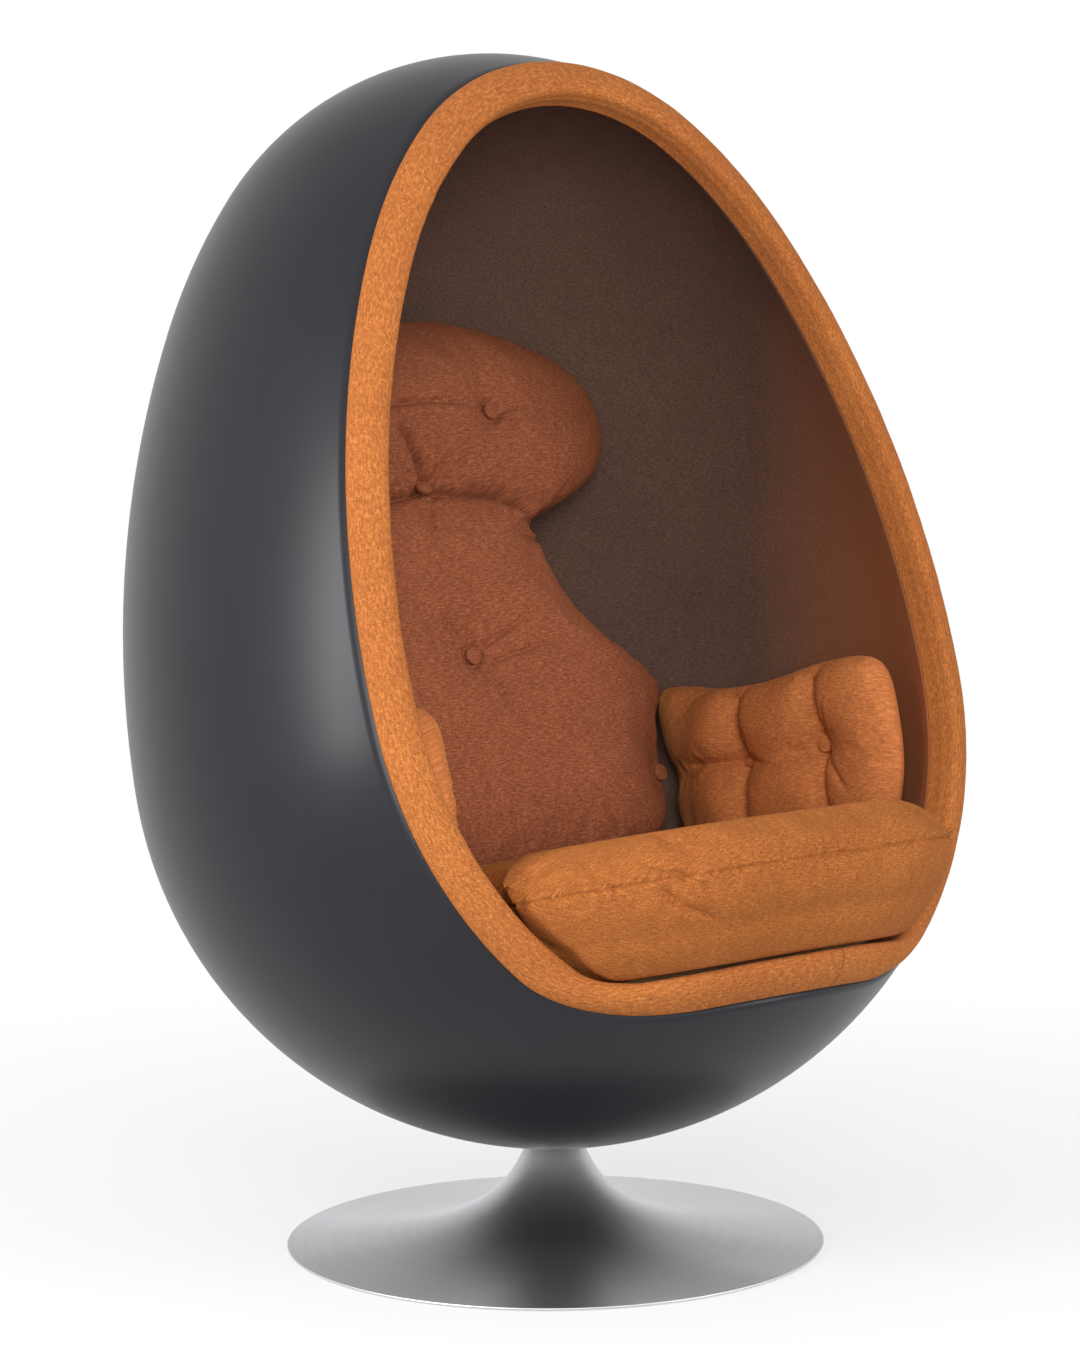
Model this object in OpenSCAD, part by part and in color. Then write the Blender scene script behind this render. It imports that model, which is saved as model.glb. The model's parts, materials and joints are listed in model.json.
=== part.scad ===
// Pod chair: an egg-shaped shell lined with foam and cloth, leaning back over a
// spun trumpet base on which it turns. Millimetres, +Z up, the opening faces -Y,
// and the origin is on the floor, on the swivel axis.

/* [Shell] */
// Radius of the round bottom of the egg, which is half its width
belly_r = 455; // [449:1:470]
// Radius of the arc between the long side and the crown
shoulder_r = 640; // [600:1:680]
// Radius of the small end
crown_r = 335; // [325:1:341]
// Angle where the side arc meets the shoulder arc
side_angle = 26; // [25:0.5:27]
// Angle where the shoulder arc meets the crown
crown_angle = 40; // [39:0.5:42]
// Backward lean of the whole pod
lean = 14; // [11:0.5:16]
// Wall of the moulded shell
shell_t = 6; // [5:0.5:7]

/* [Opening] */
// Distance of the knee of the cut in front of the egg's axis
knee_y = 238; // [232:1:244]
// Depth of the knee below the belly's centre
knee_depth = 327; // [325:1:331]
// Radius of the knee
knee_r = 64; // [58:1:70]
// Angle of the cut to the egg's axis
cut_angle = 3.7; // [2.5:0.1:4.5]
// Rise of the lip towards its front
lip_angle = 2.5; // [1.5:0.5:3]
// How far the padded rim stands proud of the cut
rim_bulge = 31; // [27:1:33]

/* [Lining] */
// Thickness of the foam on the wall
foam_t = 28; // [25:1:30]
// Thickness of the cloth over the foam
cloth_t = 2; // [1:0.1:2.5]
// Gap left for the bond between wall layers
bond_gap = 0.3; // [0.25:0.05:0.5]
// Depth of the lining's edge below the knee
lining_drop = 18; // [12:1:22]

/* [Seat] */
// Depth of the seat deck's top below the belly's centre
deck_depth = 283.5; // [282:0.5:285]
// Thickness of the seat deck
deck_t = 15; // [12:1:18]
// Distance of the deck's front edge behind the knee
deck_inset = 12; // [8:1:20]
// Depth of the seat cushion's seam below the belly's centre
seat_seam_depth = 190; // [184:1:196]
// Height of the seat cushion's top above its seam
seat_up = 45; // [36:1:48]
// Distance of the seat cushion's sides from the shell's widest place
seat_room = 193; // [191:1:205]
// Distance of the seat cushion's front edge ahead of the egg's surface
seat_proud = 10; // [4:1:14]
// Roundness of the seat cushion's upper edge
seat_edge = 58; // [50:1:64]
// Roundness of the seat cushion's lower edge
seat_low_edge = 22; // [16:1:32]
// Radius of the seat cushion's front, seen from above
seat_front_r = 560; // [500:5:640]
// Distance of the seat cushion's rear edge behind the egg's axis
seat_rear = 128; // [110:1:130]

/* [Back cushion] */
// Distance of the back cushion's seam from the shell's rear, at the belly's height
back_room = 305; // [299:1:309]
// Recline of the back cushion to the egg's axis
back_angle = 9; // [8.5:0.5:9.5]
// Depth of its lower edge below the belly's centre
back_low = 138; // [130:1:139]
// Distance of the hips' sides from the shell's widest place
hip_room = 187; // [180:1:205]
// Distance of the waist's sides from the shell's widest place
waist_room = 285; // [275:1:300]
// Height of the waist
waist_h = 248; // [235:1:258]
// Distance of the head part's sides from the shell's widest place
head_room = 155; // [150:1:185]
// Height of the top of the head part
head_h = 478; // [460:1:482]
// Depth of the front above the seam
back_front_t = 68; // [60:1:72]
// Depth behind the seam
back_rear_t = 32; // [28:1:36]
// Extra depth of the head part
head_extra_t = 34; // [20:1:40]

/* [Arm cushions] */
// Height of the arms' top above the belly's centre
arm_top = 24; // [12:1:34]
// Depth of the arms' lower edge below the belly's centre
arm_low = 198; // [188:1:202]
// Distance of the arms' front end ahead of the egg's axis
arm_front = 195; // [185:1:199]
// Distance of the arms' rear end behind the egg's axis
arm_rear = 190; // [175:1:200]
// How far the arms give way to the back cushion at their rear
arm_flare = 28; // [22:1:34]
// Depth of an arm's puffs in front of its seam
arm_puff_t = 46; // [40:1:48]
// Gap between an arm and the seat cushion
arm_gap = 5; // [4:0.5:8]

/* [Buttons] */
// Radius of a covered button
button_r = 10; // [8:0.5:12]
// Height of a covered button
button_t = 7; // [6:0.5:9]
// Depth to which a button is pulled in
tuft_depth = 15; // [12:1:18]

/* [Base] */
// Radius of the base
base_r = 295; // [275:1:315]
// Height of the shell's lowest point
stem_h = 115; // [110:1:130]
// Radius of the trumpet's neck
neck_r = 32; // [31:0.5:34]
// Thickness of the spun sheet
sheet_t = 2; // [1.5:0.1:2.5]
// Thickness of the floor pad
pad_t = 1.5; // [1:0.1:2.5]
// Thickness of the ballast plate
ballast_t = 8; // [6:0.5:10]
// Wall of the column
column_t = 5; // [4:0.5:6]
// Number of gussets on the column
gusset_count = 4; // [3:1:6]
// Thickness of a gusset
gusset_t = 4; // [3:0.5:6]

/* [Swivel] */
// Radius of the spindle
spindle_r = 15; // [13:0.5:16]
// Length of a bush
bush_l = 24; // [18:1:28]
// Thickness of the upper bush's flange
flange_t = 2; // [1.5:0.1:3]
// Thickness of the thrust washer
washer_t = 1.5; // [1:0.1:2.5]
// Height of the bright collar under the shell
collar_h = 3.5; // [2.5:0.1:5]
// Radius of the bright collar
collar_r = 29; // [27:0.5:30]
// Running clearance of the spindle in its bushes
run_gap = 0.05; // [0.03:0.01:0.09]
// Clearance of pieces that are fixed in each other
fit_gap = 0.04; // [0.02:0.01:0.08]

/* [Mounting] */
// Radius of the block bonded inside the shell
block_r = 120; // [110:1:130]
// Thickness of the block at its middle
block_t = 50; // [44:1:54]
// Radius of the steel plate on the block
plate_r = 90; // [84:1:100]
// Thickness of the steel plate
plate_t = 6; // [5:0.5:8]
// Number of plate bolts
bolt_count = 6; // [4:1:8]
// Radius of a bolt's shank
bolt_r = 4; // [3:0.5:5]
// Length of a bolt's shank
bolt_l = 34; // [28:1:38]
// Radius of a deck screw's shank
screw_r = 2.5; // [2:0.25:3]
// Length of a deck screw
screw_l = 42; // [36:1:46]

/* [Hidden] */

// Number of sides on large round forms, on small ones, on bolts and on hexagons
fine = 256;
round = 96;
few = 32;
six = 6;
// Number of cone bands that stand in for each arc of the egg
belly_bands = 36;
side_bands = 13;
shoulder_bands = 5;
crown_bands = 12;
// Overrun of a cut past the face that it goes through
over = 1;

// The egg's outline: four arcs, each tangent to the next. The side arc's radius
// follows from the others, because the outline has to close on the axis.
side_r = (belly_r + shoulder_r * (cos(crown_angle) - cos(side_angle)) - crown_r * cos(crown_angle))
    / (1 - cos(side_angle));
side_c = [belly_r - side_r, 0];
shoulder_c = side_c + (side_r - shoulder_r) * [cos(side_angle), sin(side_angle)];
crown_c = shoulder_c + (shoulder_r - crown_r) * [cos(crown_angle), sin(crown_angle)];
pod_top = crown_c[1] + crown_r;
centre_h = stem_h + belly_r;
// What lies beyond every outline, for cuts
far = 2 * (belly_r + pod_top);

// Insets of the wall's layers from the shell's outer surface
foam_inset = shell_t + bond_gap;
cloth_inset = foam_inset + foam_t + bond_gap;
wall_t = cloth_inset + cloth_t;

// Radius of the egg at height z, with its surface drawn in by an inset
function egg_r(z, inset = 0) =
    z <= 0 ? sqrt(max(0, pow(belly_r - inset, 2) - z * z)) :
    z <= (side_r - inset) * sin(side_angle) ? side_c[0] + sqrt(pow(side_r - inset, 2) - z * z) :
    z <= shoulder_c[1] + (shoulder_r - inset) * sin(crown_angle) ?
        shoulder_c[0] + sqrt(pow(shoulder_r - inset, 2) - pow(z - shoulder_c[1], 2)) :
    sqrt(max(0, pow(crown_r - inset, 2) - pow(z - crown_c[1], 2)));

// Half width of the egg at a place seen from the side
function egg_x(y, z, inset) = sqrt(max(0, pow(egg_r(z, inset), 2) - y * y));

function lerp(a, b, t) = a + (b - a) * t;

function ease(t) = let (s = min(1, max(0, t))) s * s * (3 - 2 * s);

function arc_points(c, r, from, to, count) =
    [for (i = [1:count]) let (a = lerp(from, to, i / count)) c + r * [cos(a), sin(a)]];

// Half of the egg's section, to be turned about its axis
module egg_outline(inset) {
    polygon(concat(
        [[0, 0], [0, inset - belly_r]],
        arc_points([0, 0], belly_r - inset, -90, 0, belly_bands),
        arc_points(side_c, side_r - inset, 0, side_angle, side_bands),
        arc_points(shoulder_c, shoulder_r - inset, side_angle, crown_angle, shoulder_bands),
        arc_points(crown_c, crown_r - inset, crown_angle, 90, crown_bands)
    ));
}

module egg_layer(outer, inner) {
    rotate_extrude($fn = fine) difference() {
        egg_outline(outer);
        egg_outline(inner);
    }
}

// The inside of the shell about the belly, where only the round bottom counts
module belly(inset) {
    sphere(belly_r - inset, $fn = fine);
}

// Puts what is built about the egg's own axis into place over the base
module in_pod() {
    translate([0, 0, centre_h]) rotate([-lean, 0, 0]) children();
}

// The cut seen from the side, as points [y, z] about the belly's centre: a straight
// stretch down the front, a round knee, and the lip that runs out level from it
knee = [-knee_y, -knee_depth];
up_dir = [sin(cut_angle), cos(cut_angle)];
cut_out = [-cos(cut_angle), sin(cut_angle)];
lip_dir = [-cos(lip_angle), sin(lip_angle)];
lip_out = [sin(lip_angle), cos(lip_angle)];
knee_reach = knee_r / tan((90 + cut_angle - lip_angle) / 2);
knee_c = knee + up_dir * knee_reach + cut_out * knee_r;

// The same line standing proud by h, at a distance s from the knee or a share of its turn
function on_cut(h, s) = knee_c - cut_out * (knee_r - h) + up_dir * s;
function on_lip(h, s) = knee_c - lip_out * (knee_r - h) + lip_dir * s;
function on_knee(h, share) =
    let (a = lerp(-cut_angle, -90 - lip_angle, share)) knee_c + (knee_r - h) * [cos(a), sin(a)];

// Round the knee up to a share of one, and on along the lip,
// with what stands proud of the cut growing by a share on its way
lip_rise_share = 0.2;
function on_front(h, share) =
    let (raised = h + lip_rise_share * ease(share) * max(0, h - bond_gap))
    share < 1 ? on_knee(raised, share) : on_lip(raised, (share - 1) * knee_r);

// Halves a range until it closes on the place where a line leaves the egg
function leaves_egg(line, inset, low, high, steps = 30) =
    steps == 0 ? low :
    let (half = (low + high) / 2, p = line(half))
    egg_r(p[1], inset) > abs(p[0]) ?
        leaves_egg(line, inset, half, high, steps - 1) :
        leaves_egg(line, inset, low, half, steps - 1);

// Front of the cut at height z, and of a line that stands proud of it by h
function cut_y(z) = -knee_y + (z + knee_depth) * tan(cut_angle);
function nose_y(z, h) = z > knee_c[1] ? cut_y(z) - h :
    knee_c[0] + sqrt(max(0, pow(knee_r - h, 2) - pow(z - knee_c[1], 2)));

module opening_cut() {
    rotate([90, 0, 90]) linear_extrude(height = far, center = true) {
        polygon([
            knee + up_dir * knee_reach, knee + up_dir * far, knee + (up_dir + lip_dir) * far,
            knee + lip_dir * far, knee + lip_dir * knee_reach,
        ]);
        translate(knee_c) circle(knee_r, $fn = fine);
    }
}

// A layer of the lining, which ends on the seat deck, or under the lip in front of it
module lining_layer(outer, inner) {
    difference() {
        egg_layer(outer, inner);
        opening_cut();
        translate([-far / 2, deck_inset - knee_y - bond_gap, bond_gap - deck_depth - far])
            cube(far);
        translate([-far / 2, -far / 2, -knee_depth - lining_drop - far]) cube(far);
    }
}

function middle(ring) =
    [for (axis = [0:2]) [for (p = ring) p[axis]] * [for (p = ring) 1 / len(ring)]];

// A closed skin over rings of points, each with as many points as the next, running
// up from the lowest, with both ends closed at their middles
module loft(rings) {
    n = len(rings[0]);
    count = len(rings);
    polyhedron(
        points = concat([for (r = rings) each r], [middle(rings[0]), middle(rings[count - 1])]),
        faces = concat(
            [for (k = [0:count - 2], i = [0:n - 1])
                [k * n + i, (k + 1) * n + i, (k + 1) * n + (i + 1) % n]],
            [for (k = [0:count - 2], i = [0:n - 1])
                [k * n + i, (k + 1) * n + (i + 1) % n, k * n + (i + 1) % n]],
            [for (i = [0:n - 1]) [count * n, i, (i + 1) % n]],
            [for (i = [0:n - 1])
                [count * n + 1, (count - 1) * n + (i + 1) % n, (count - 1) * n + i]]
        )
    );
}

// A smooth closed line through points, with a number of steps from each to the next
function through(p, steps) = [
    for (i = [0:len(p) - 1], k = [0:steps - 1])
        let (n = len(p), t = k / steps, a = p[(i + n - 1) % n], b = p[i], c = p[(i + 1) % n],
            d = p[(i + 2) % n])
        (2 * b + (c - a) * t + (2 * a - 5 * b + 4 * c - d) * t * t
            + (3 * b - a - 3 * c + d) * t * t * t) / 2
];

// A half outline that starts and ends on the middle line, with its mirror image
function both_sides(half) =
    concat(half, [for (i = [len(half) - 2:-1:1]) [-half[i][0], half[i][1]]]);

// How full a stuffed edge is at a share t of the way in from its seam
fullness_share = 2.4;
function fullness(t) = pow(1 - pow(1 - t, fullness_share), 1 / fullness_share);

// How much is left of a dip about a point p, which reaches about as far as width
function dip(q, p, width) = exp(-pow(norm(q - p) / width, 2));

// A stuffed pad on an outline in its own plane, running round as seen from its front.
// The place function puts a point of that plane at a height before the seam.
module pad(outline, heart, place, front, rear, front_rings, rear_rings) {
    shares = function(count) [for (k = [1:count]) 1 - cos(90 * k / (count + 0.6))];
    ring = function(t, height) [
        for (p = outline) let (q = lerp(p, heart, t)) place(q, height(q, t))
    ];
    rear_shares = shares(rear_rings);
    loft(concat(
        [for (k = [rear_rings - 1:-1:0]) ring(rear_shares[k], rear)],
        [ring(0, function(q, t) 0)],
        [for (t = shares(front_rings)) ring(t, front)]
    ));
}

// Trumpet of the base: its height falls by a power law over the logarithm of the radius
neck_z = stem_h - collar_h - 2 * run_gap - washer_t;
flare_low = pad_t + sheet_t;
flare_share = 1.66;
function flare_point(t) =
    [neck_r * pow(base_r / neck_r, t), flare_low + (neck_z - flare_low) * pow(1 - t, flare_share)];
function flare_r(z) =
    neck_r * pow(base_r / neck_r, 1 - pow((z - flare_low) / (neck_z - flare_low), 1 / flare_share));
flare_steps = 30;
flare_nudge_share = 0.001;

// Point of the trumpet's inner face, square to the outer face
function flare_inner(t) =
    let (p = flare_point(t), d = flare_point(min(1, t + flare_nudge_share))
        - flare_point(max(0, t - flare_nudge_share)), n = [d[1], -d[0]] / norm(d))
    p + n * sheet_t;

column_r = neck_r - sheet_t - bond_gap;
column_low = pad_t;
column_top = neck_z - flange_t;
bore_r = column_r - column_t;
ballast_top = pad_t + ballast_t;
ballast_r = flare_r(ballast_top + 2 * sheet_t);
clip_t = 1.6;
clip_reach = 4;
clip_mouth_share = 1.2;
groove_depth = 1.2;
tail_l = 4;
ring_t = 2;
lower_bush_z = ballast_top + tail_l + clip_t + ring_t + 2 * sheet_t;
ring_z = lower_bush_z - run_gap - ring_t;
clip_z = ring_z - clip_t;
spindle_low = clip_z - tail_l;
collar_z = stem_h - collar_h;
block_top = stem_h + foam_inset + block_t;
plate_top = block_top + plate_t;
head_share = 1.6;
head_t = 6;
bolt_circle_share = 0.78;

module ring_solid(outer, inner, low, high, sides = round) {
    translate([0, 0, low]) difference() {
        cylinder(r = outer, h = high - low, $fn = sides);
        translate([0, 0, -over]) cylinder(r = inner, h = high - low + 2 * over, $fn = sides);
    }
}

pad_edge = 6;
module floor_pad() {
    color("#2a2a2c") cylinder(r = base_r - pad_edge, h = pad_t, $fn = fine);
}

module ballast_plate() {
    color("#55585c") ring_solid(ballast_r, column_r + fit_gap, pad_t, ballast_top);
}

module base_trumpet() {
    color("#b9bbbd") rotate_extrude($fn = fine) polygon(concat(
        [for (i = [0:flare_steps]) flare_point(i / flare_steps)],
        [for (i = [flare_steps:-1:0]) flare_inner(i / flare_steps)]
    ));
}

module column_tube() {
    color("#8d9094") ring_solid(column_r, bore_r, column_low, column_top);
}

// Ribs that follow the underside of the trumpet and stay clear of it
gusset_steps = 6;
gusset_top_share = 0.55;
gusset_drop_share = 3;
module column_gussets() {
    drop = gusset_drop_share * sheet_t;
    top = lerp(ballast_top, neck_z, gusset_top_share);
    color("#8d9094") for (i = [0:gusset_count - 1])
        rotate([90, 0, 360 * i / gusset_count]) translate([0, 0, -gusset_t / 2])
            linear_extrude(height = gusset_t) polygon(concat(
                [[column_r + fit_gap, ballast_top], [column_r + fit_gap, top]],
                [for (k = [gusset_steps:-1:0]) let (z = lerp(ballast_top, top, k / gusset_steps))
                    [flare_r(z + drop) - drop, z]]
            ));
}

module bush(low, flange) {
    ring_solid(bore_r - fit_gap, spindle_r + run_gap, low, low + bush_l);
    if (flange)
        ring_solid(column_r, spindle_r + run_gap, low + bush_l, low + bush_l + flange_t);
}

module lower_bush() {
    color("#e8e4d8") bush(lower_bush_z, false);
}

module upper_bush() {
    color("#e8e4d8") bush(column_top - bush_l, true);
}

module thrust_washer() {
    color("#26262a") ring_solid(column_r - fit_gap, spindle_r + run_gap, neck_z, neck_z + washer_t);
}

module spindle() {
    color("#a9abad") {
        difference() {
            translate([0, 0, spindle_low])
                cylinder(r = spindle_r, h = plate_top - spindle_low, $fn = round);
            ring_solid(spindle_r + over, spindle_r - groove_depth, clip_z, clip_z + clip_t);
        }
        translate([0, 0, plate_top]) cylinder(r = head_share * spindle_r, h = head_t, $fn = round);
    }
}

module retaining_washer() {
    color("#9a9da0") ring_solid(bore_r - clip_reach / 2, spindle_r + fit_gap, ring_z, ring_z + ring_t);
}

// An open ring that snaps into the spindle's groove
module retaining_clip() {
    mouth = clip_mouth_share * spindle_r;
    color("#3a3b3d") difference() {
        ring_solid(spindle_r + clip_reach, spindle_r - groove_depth + fit_gap,
            clip_z + fit_gap, clip_z + clip_t - fit_gap);
        translate([0, -mouth / 2, clip_z - over])
            cube([spindle_r + clip_reach + over, mouth, clip_t + 2 * over]);
    }
}

module collar_ring() {
    color("#cfd0d1") difference() {
        ring_solid(collar_r, spindle_r + fit_gap, collar_z, stem_h + collar_h);
        translate([0, 0, centre_h]) sphere(belly_r + fit_gap, $fn = fine);
    }
}

module outer_shell() {
    color("#45464c") difference() {
        in_pod() difference() {
            egg_layer(0, shell_t);
            opening_cut();
        }
        cylinder(r = spindle_r + fit_gap, h = centre_h, $fn = round);
    }
}

module bolt_places() {
    for (i = [0:bolt_count - 1]) rotate([0, 0, 360 * (i + 0.5) / bolt_count])
        translate([bolt_circle_share * plate_r, 0, 0]) children();
}

module mounting_block() {
    color("#b98d5c") difference() {
        intersection() {
            translate([0, 0, stem_h]) cylinder(r = block_r, h = block_top - stem_h, $fn = fine);
            translate([0, 0, centre_h]) belly(foam_inset);
        }
        translate([0, 0, stem_h]) cylinder(r = spindle_r + fit_gap, h = block_t * 2, $fn = round);
        bolt_places() translate([0, 0, plate_top - bolt_l - over])
            cylinder(r = bolt_r + fit_gap, h = bolt_l + 2 * over, $fn = few);
    }
}

module mounting_plate() {
    color("#5d6064") difference() {
        ring_solid(plate_r, spindle_r + fit_gap, block_top, plate_top);
        bolt_places() translate([0, 0, block_top - over])
            cylinder(r = bolt_r + fit_gap, h = plate_t + 2 * over, $fn = few);
    }
}

bolt_head_r_share = 1.85;
bolt_head_t_share = 1.3;
module plate_bolts() {
    color("#9fa1a4") bolt_places() {
        translate([0, 0, plate_top - bolt_l]) cylinder(r = bolt_r, h = bolt_l, $fn = few);
        translate([0, 0, plate_top])
            cylinder(r = bolt_head_r_share * bolt_r, h = bolt_head_t_share * bolt_r, $fn = six);
    }
}

cleat_w = 70;
cleat_h = 60;
cleat_reach = 92;
cleat_angle = 30;
screw_back = 58;
module cleat_places() {
    for (side = [0, 180], turn = [-cleat_angle, cleat_angle]) rotate([0, 0, side + turn])
        translate([egg_r(-deck_depth - deck_t, shell_t), 0, -deck_depth]) children();
}

module screw_holes() {
    cleat_places() translate([-screw_back, 0, -screw_l - over])
        cylinder(r = screw_r + fit_gap, h = screw_l + 2 * over, $fn = few);
}

module seat_deck() {
    color("#c79c66") in_pod() difference() {
        intersection() {
            translate([-far / 2, deck_inset - knee_y, -deck_depth - deck_t])
                cube([far, far, deck_t]);
            belly(foam_inset);
        }
        screw_holes();
    }
}

// Blocks under the deck that are shaped to the shell and bonded to it
module deck_cleats() {
    color("#b98d5c") in_pod() difference() {
        intersection() {
            cleat_places() translate([-cleat_reach, -cleat_w / 2, -deck_t - cleat_h])
                cube([cleat_reach, cleat_w, cleat_h]);
            belly(foam_inset);
        }
        screw_holes();
    }
}

module deck_screws() {
    color("#9fa1a4") in_pod() cleat_places() translate([-screw_back, 0, -screw_l]) {
        cylinder(r = screw_r, h = screw_l, $fn = few);
        translate([0, 0, screw_l])
            cylinder(r = bolt_head_r_share * screw_r, h = screw_r, $fn = few);
    }
}

module lining_foam() {
    color("#d9c9a4") in_pod() lining_layer(foam_inset, foam_inset + foam_t);
}

module lining_cloth() {
    color("#5a2f14") in_pod() lining_layer(cloth_inset, wall_t);
}

// The padded rim: a rounded section carried along the cut. Each of its lines keeps
// one inset into the wall and one height above the cut, so it follows the egg. The
// section is given as shares of the wall and of the rim's bulge, from the outside in.
rim_cut_steps = 24;
rim_front_steps = 14;
rim_section_shares = [
    [0, 0], [-0.12, 0.17], [-0.16, 0.37], [-0.14, 0.58], [-0.06, 0.78],
    [0.07, 0.94], [0.26, 1], [0.43, 0.87], [0.56, 0.69],
    [0.68, 0.53], [0.78, 0.35], [0.89, 0.17], [1, 0],
];
function rim_line(inset, h) =
    let (
        top = leaves_egg(function(s) on_cut(h, s), inset, 0, far),
        front = leaves_egg(function(s) on_front(h, s), inset, 0, far / knee_r),
        side = concat(
            [for (k = [0:rim_cut_steps]) on_cut(h, top * cos(90 * k / rim_cut_steps))],
            [for (k = [1:rim_front_steps]) on_front(h, front * sin(90 * k / rim_front_steps))]
        ),
        last = len(side) - 1,
        right = [for (k = [0:last])
            [k == 0 || k == last ? 0 : egg_x(side[k][0], side[k][1], inset), side[k][0], side[k][1]]]
    )
    concat(right, [for (k = [last - 1:-1:1]) [-right[k][0], right[k][1], right[k][2]]]);

module rim_roll() {
    lines = [for (s = rim_section_shares)
        rim_line(s[0] * wall_t, lerp(bond_gap, rim_bulge, s[1]))];
    n = len(lines[0]);
    m = len(lines);
    color("#b5641f") in_pod() polyhedron(
        points = [for (line = lines) each line],
        faces = concat(
            [for (j = [0:m - 1], i = [0:n - 1])
                [j * n + i, (j + 1) % m * n + i, (j + 1) % m * n + (i + 1) % n]],
            [for (j = [0:m - 1], i = [0:n - 1])
                [j * n + i, (j + 1) % m * n + (i + 1) % n, j * n + (i + 1) % n]]
        )
    );
}

// The seat cushion fills the space between the arms and passes between the two
// sides of the rim, in front of which it spreads into an ear on either side
seat_seam = -seat_seam_depth;
seat_half_w = belly_r - seat_room;
seat_low = deck_depth - bond_gap - seat_seam_depth;
ear_spread = 8;
ear_round = 45;
ear_top_round = 60;
ear_shares = [[0, 0], [0.4, 0], [0.75, 0.04], [0.95, 0.34], [1, 1]];
neck_inset_share = 0.6;
neck_proud_share = 0.85;
neck_draw_share = 0.5;
rim_room = 5;
side_room = 9;
seat_crown = 4;
seat_side_shares = [[1, 0], [1, 0.35], [1, 0.7], [0.94, 0.93], [0.55, 1], [0, 1]];
function seat_half(turn) =
    let (
        z = seat_seam + sin(turn) * (turn > 0 ? seat_up : seat_low),
        draw = (1 - cos(turn)) * (turn > 0 ? seat_edge : seat_low_edge),
        front = egg_r(z) + seat_proud - draw,
        nose = nose_y(z, neck_proud_share * rim_bulge),
        neck = min(egg_x(nose, z, neck_inset_share * wall_t), egg_x(cut_y(z), z, wall_t))
            - rim_room - (turn > 0 ? 1 : neck_draw_share) * draw,
        ear = neck + ear_spread * cos(turn),
        corner = ear_round + (turn > 0 ? ear_top_round * (1 - cos(turn)) : 0),
        side = min(seat_half_w, egg_x(-arm_front, z, wall_t + bond_gap),
            neck + draw + side_room) - draw,
        rear = seat_rear - draw / 2
    )
    [for (p = concat(
        [for (s = ear_shares) let (x = s[0] * ear)
            [x, seat_front_r - front - sqrt(pow(seat_front_r, 2) - x * x) + s[1] * corner]],
        [[neck, nose - rim_room], [neck, cut_y(z) - rim_bulge / 2]],
        [for (s = seat_side_shares) [s[0] * side, lerp(-arm_front, rear, s[1])]]
    )) [p[0], p[1], z]];

seat_turns = [-82, -66, -48, -30, -14, 0, 16, 34, 54, 74, 86];
seat_in_shares = [0.25, 0.5, 0.75];
module seat_cushion() {
    rings = [for (turn = seat_turns)
        let (half = seat_half(turn), z = half[0][2])
        [for (p = through(both_sides([for (q = half) [q[0], q[1]]]), 2)) [p[0], p[1], z]]];
    last = len(rings) - 1;
    heart = [0, -seat_rear / 2];
    inward = function(ring, t, z) [for (p = ring) [
        lerp(p[0], heart[0], t), lerp(p[1], heart[1], t), z]];
    floor_z = seat_seam - seat_low;
    color("#b5641f") in_pod() loft(concat(
        [for (k = [len(seat_in_shares) - 1:-1:0]) inward(rings[0], seat_in_shares[k], floor_z)],
        rings,
        [for (t = seat_in_shares) inward(rings[last], t, seat_seam + seat_up + seat_crown * t)]
    ));
}

// The back cushion lies in a plane of its own, reclined to the egg's axis
back_y = belly_r - back_room;
hip_half_w = belly_r - hip_room;
waist_half_w = belly_r - waist_room;
head_half_w = belly_r - head_room;
module in_back() {
    in_pod() translate([0, back_y, 0]) rotate([-back_angle, 0, 0]) children();
}

// Places as shares: below the belly's centre of the hip width and the lower depth, up
// the side from the waist to the hip, and over the head from the waist's corner
skirt_shares = [[0, -1], [0.3, -1.01], [0.6, -1.01], [0.86, -0.96], [0.97, -0.72], [1, -0.35]];
flank_shares = [[1, 0], [0.99, 0.17], [0.8, 0.32], [0.42, 0.52], [0.16, 0.74], [0.03, 0.92]];
head_shares = [[0, 0.03], [0.35, 0.1], [0.8, 0.22], [1, 0.45], [0.9, 0.72], [0.45, 0.93],
    [-0.4, 0.99]];
back_outline = through(both_sides(concat(
    [for (s = skirt_shares) [s[0] * hip_half_w, s[1] * back_low]],
    [for (s = flank_shares) [lerp(waist_half_w, hip_half_w, s[0]), s[1] * waist_h]],
    [for (s = head_shares)
        [lerp(waist_half_w, head_half_w, s[0]), lerp(waist_h, head_h, s[1])]],
    [[0, head_h]]
)), 2);
back_heart_share = 0.8;
back_heart = [0, back_heart_share * waist_h];

// Buttons of the back cushion, as shares of the waist's height, of its half width and
// the head's height, and of the hips' half width and the lower depth
waist_button_share = 1.16;
lumbar_button_share = 0.37;
head_button_shares = [0.59, 0.5];
corner_button_shares = [0.93, -0.43];
waist_button = [0, waist_button_share * waist_h];
lumbar_button = [0, lumbar_button_share * waist_h];
head_button = [head_button_shares[0] * waist_half_w,
    lerp(waist_h, head_h, head_button_shares[1])];
corner_button = [corner_button_shares[0] * hip_half_w, corner_button_shares[1] * back_low];
tuft_w = 34;
crease_depth = 20;
crease_w = 20;
head_rise_share = 0.4;
tuft_grip_share = 4;

// The waist crease hangs from the waist button to the corners of the waist
function crease_v(u) = lerp(waist_button[1], waist_h, min(1, pow(u / waist_half_w, 2)));

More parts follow.
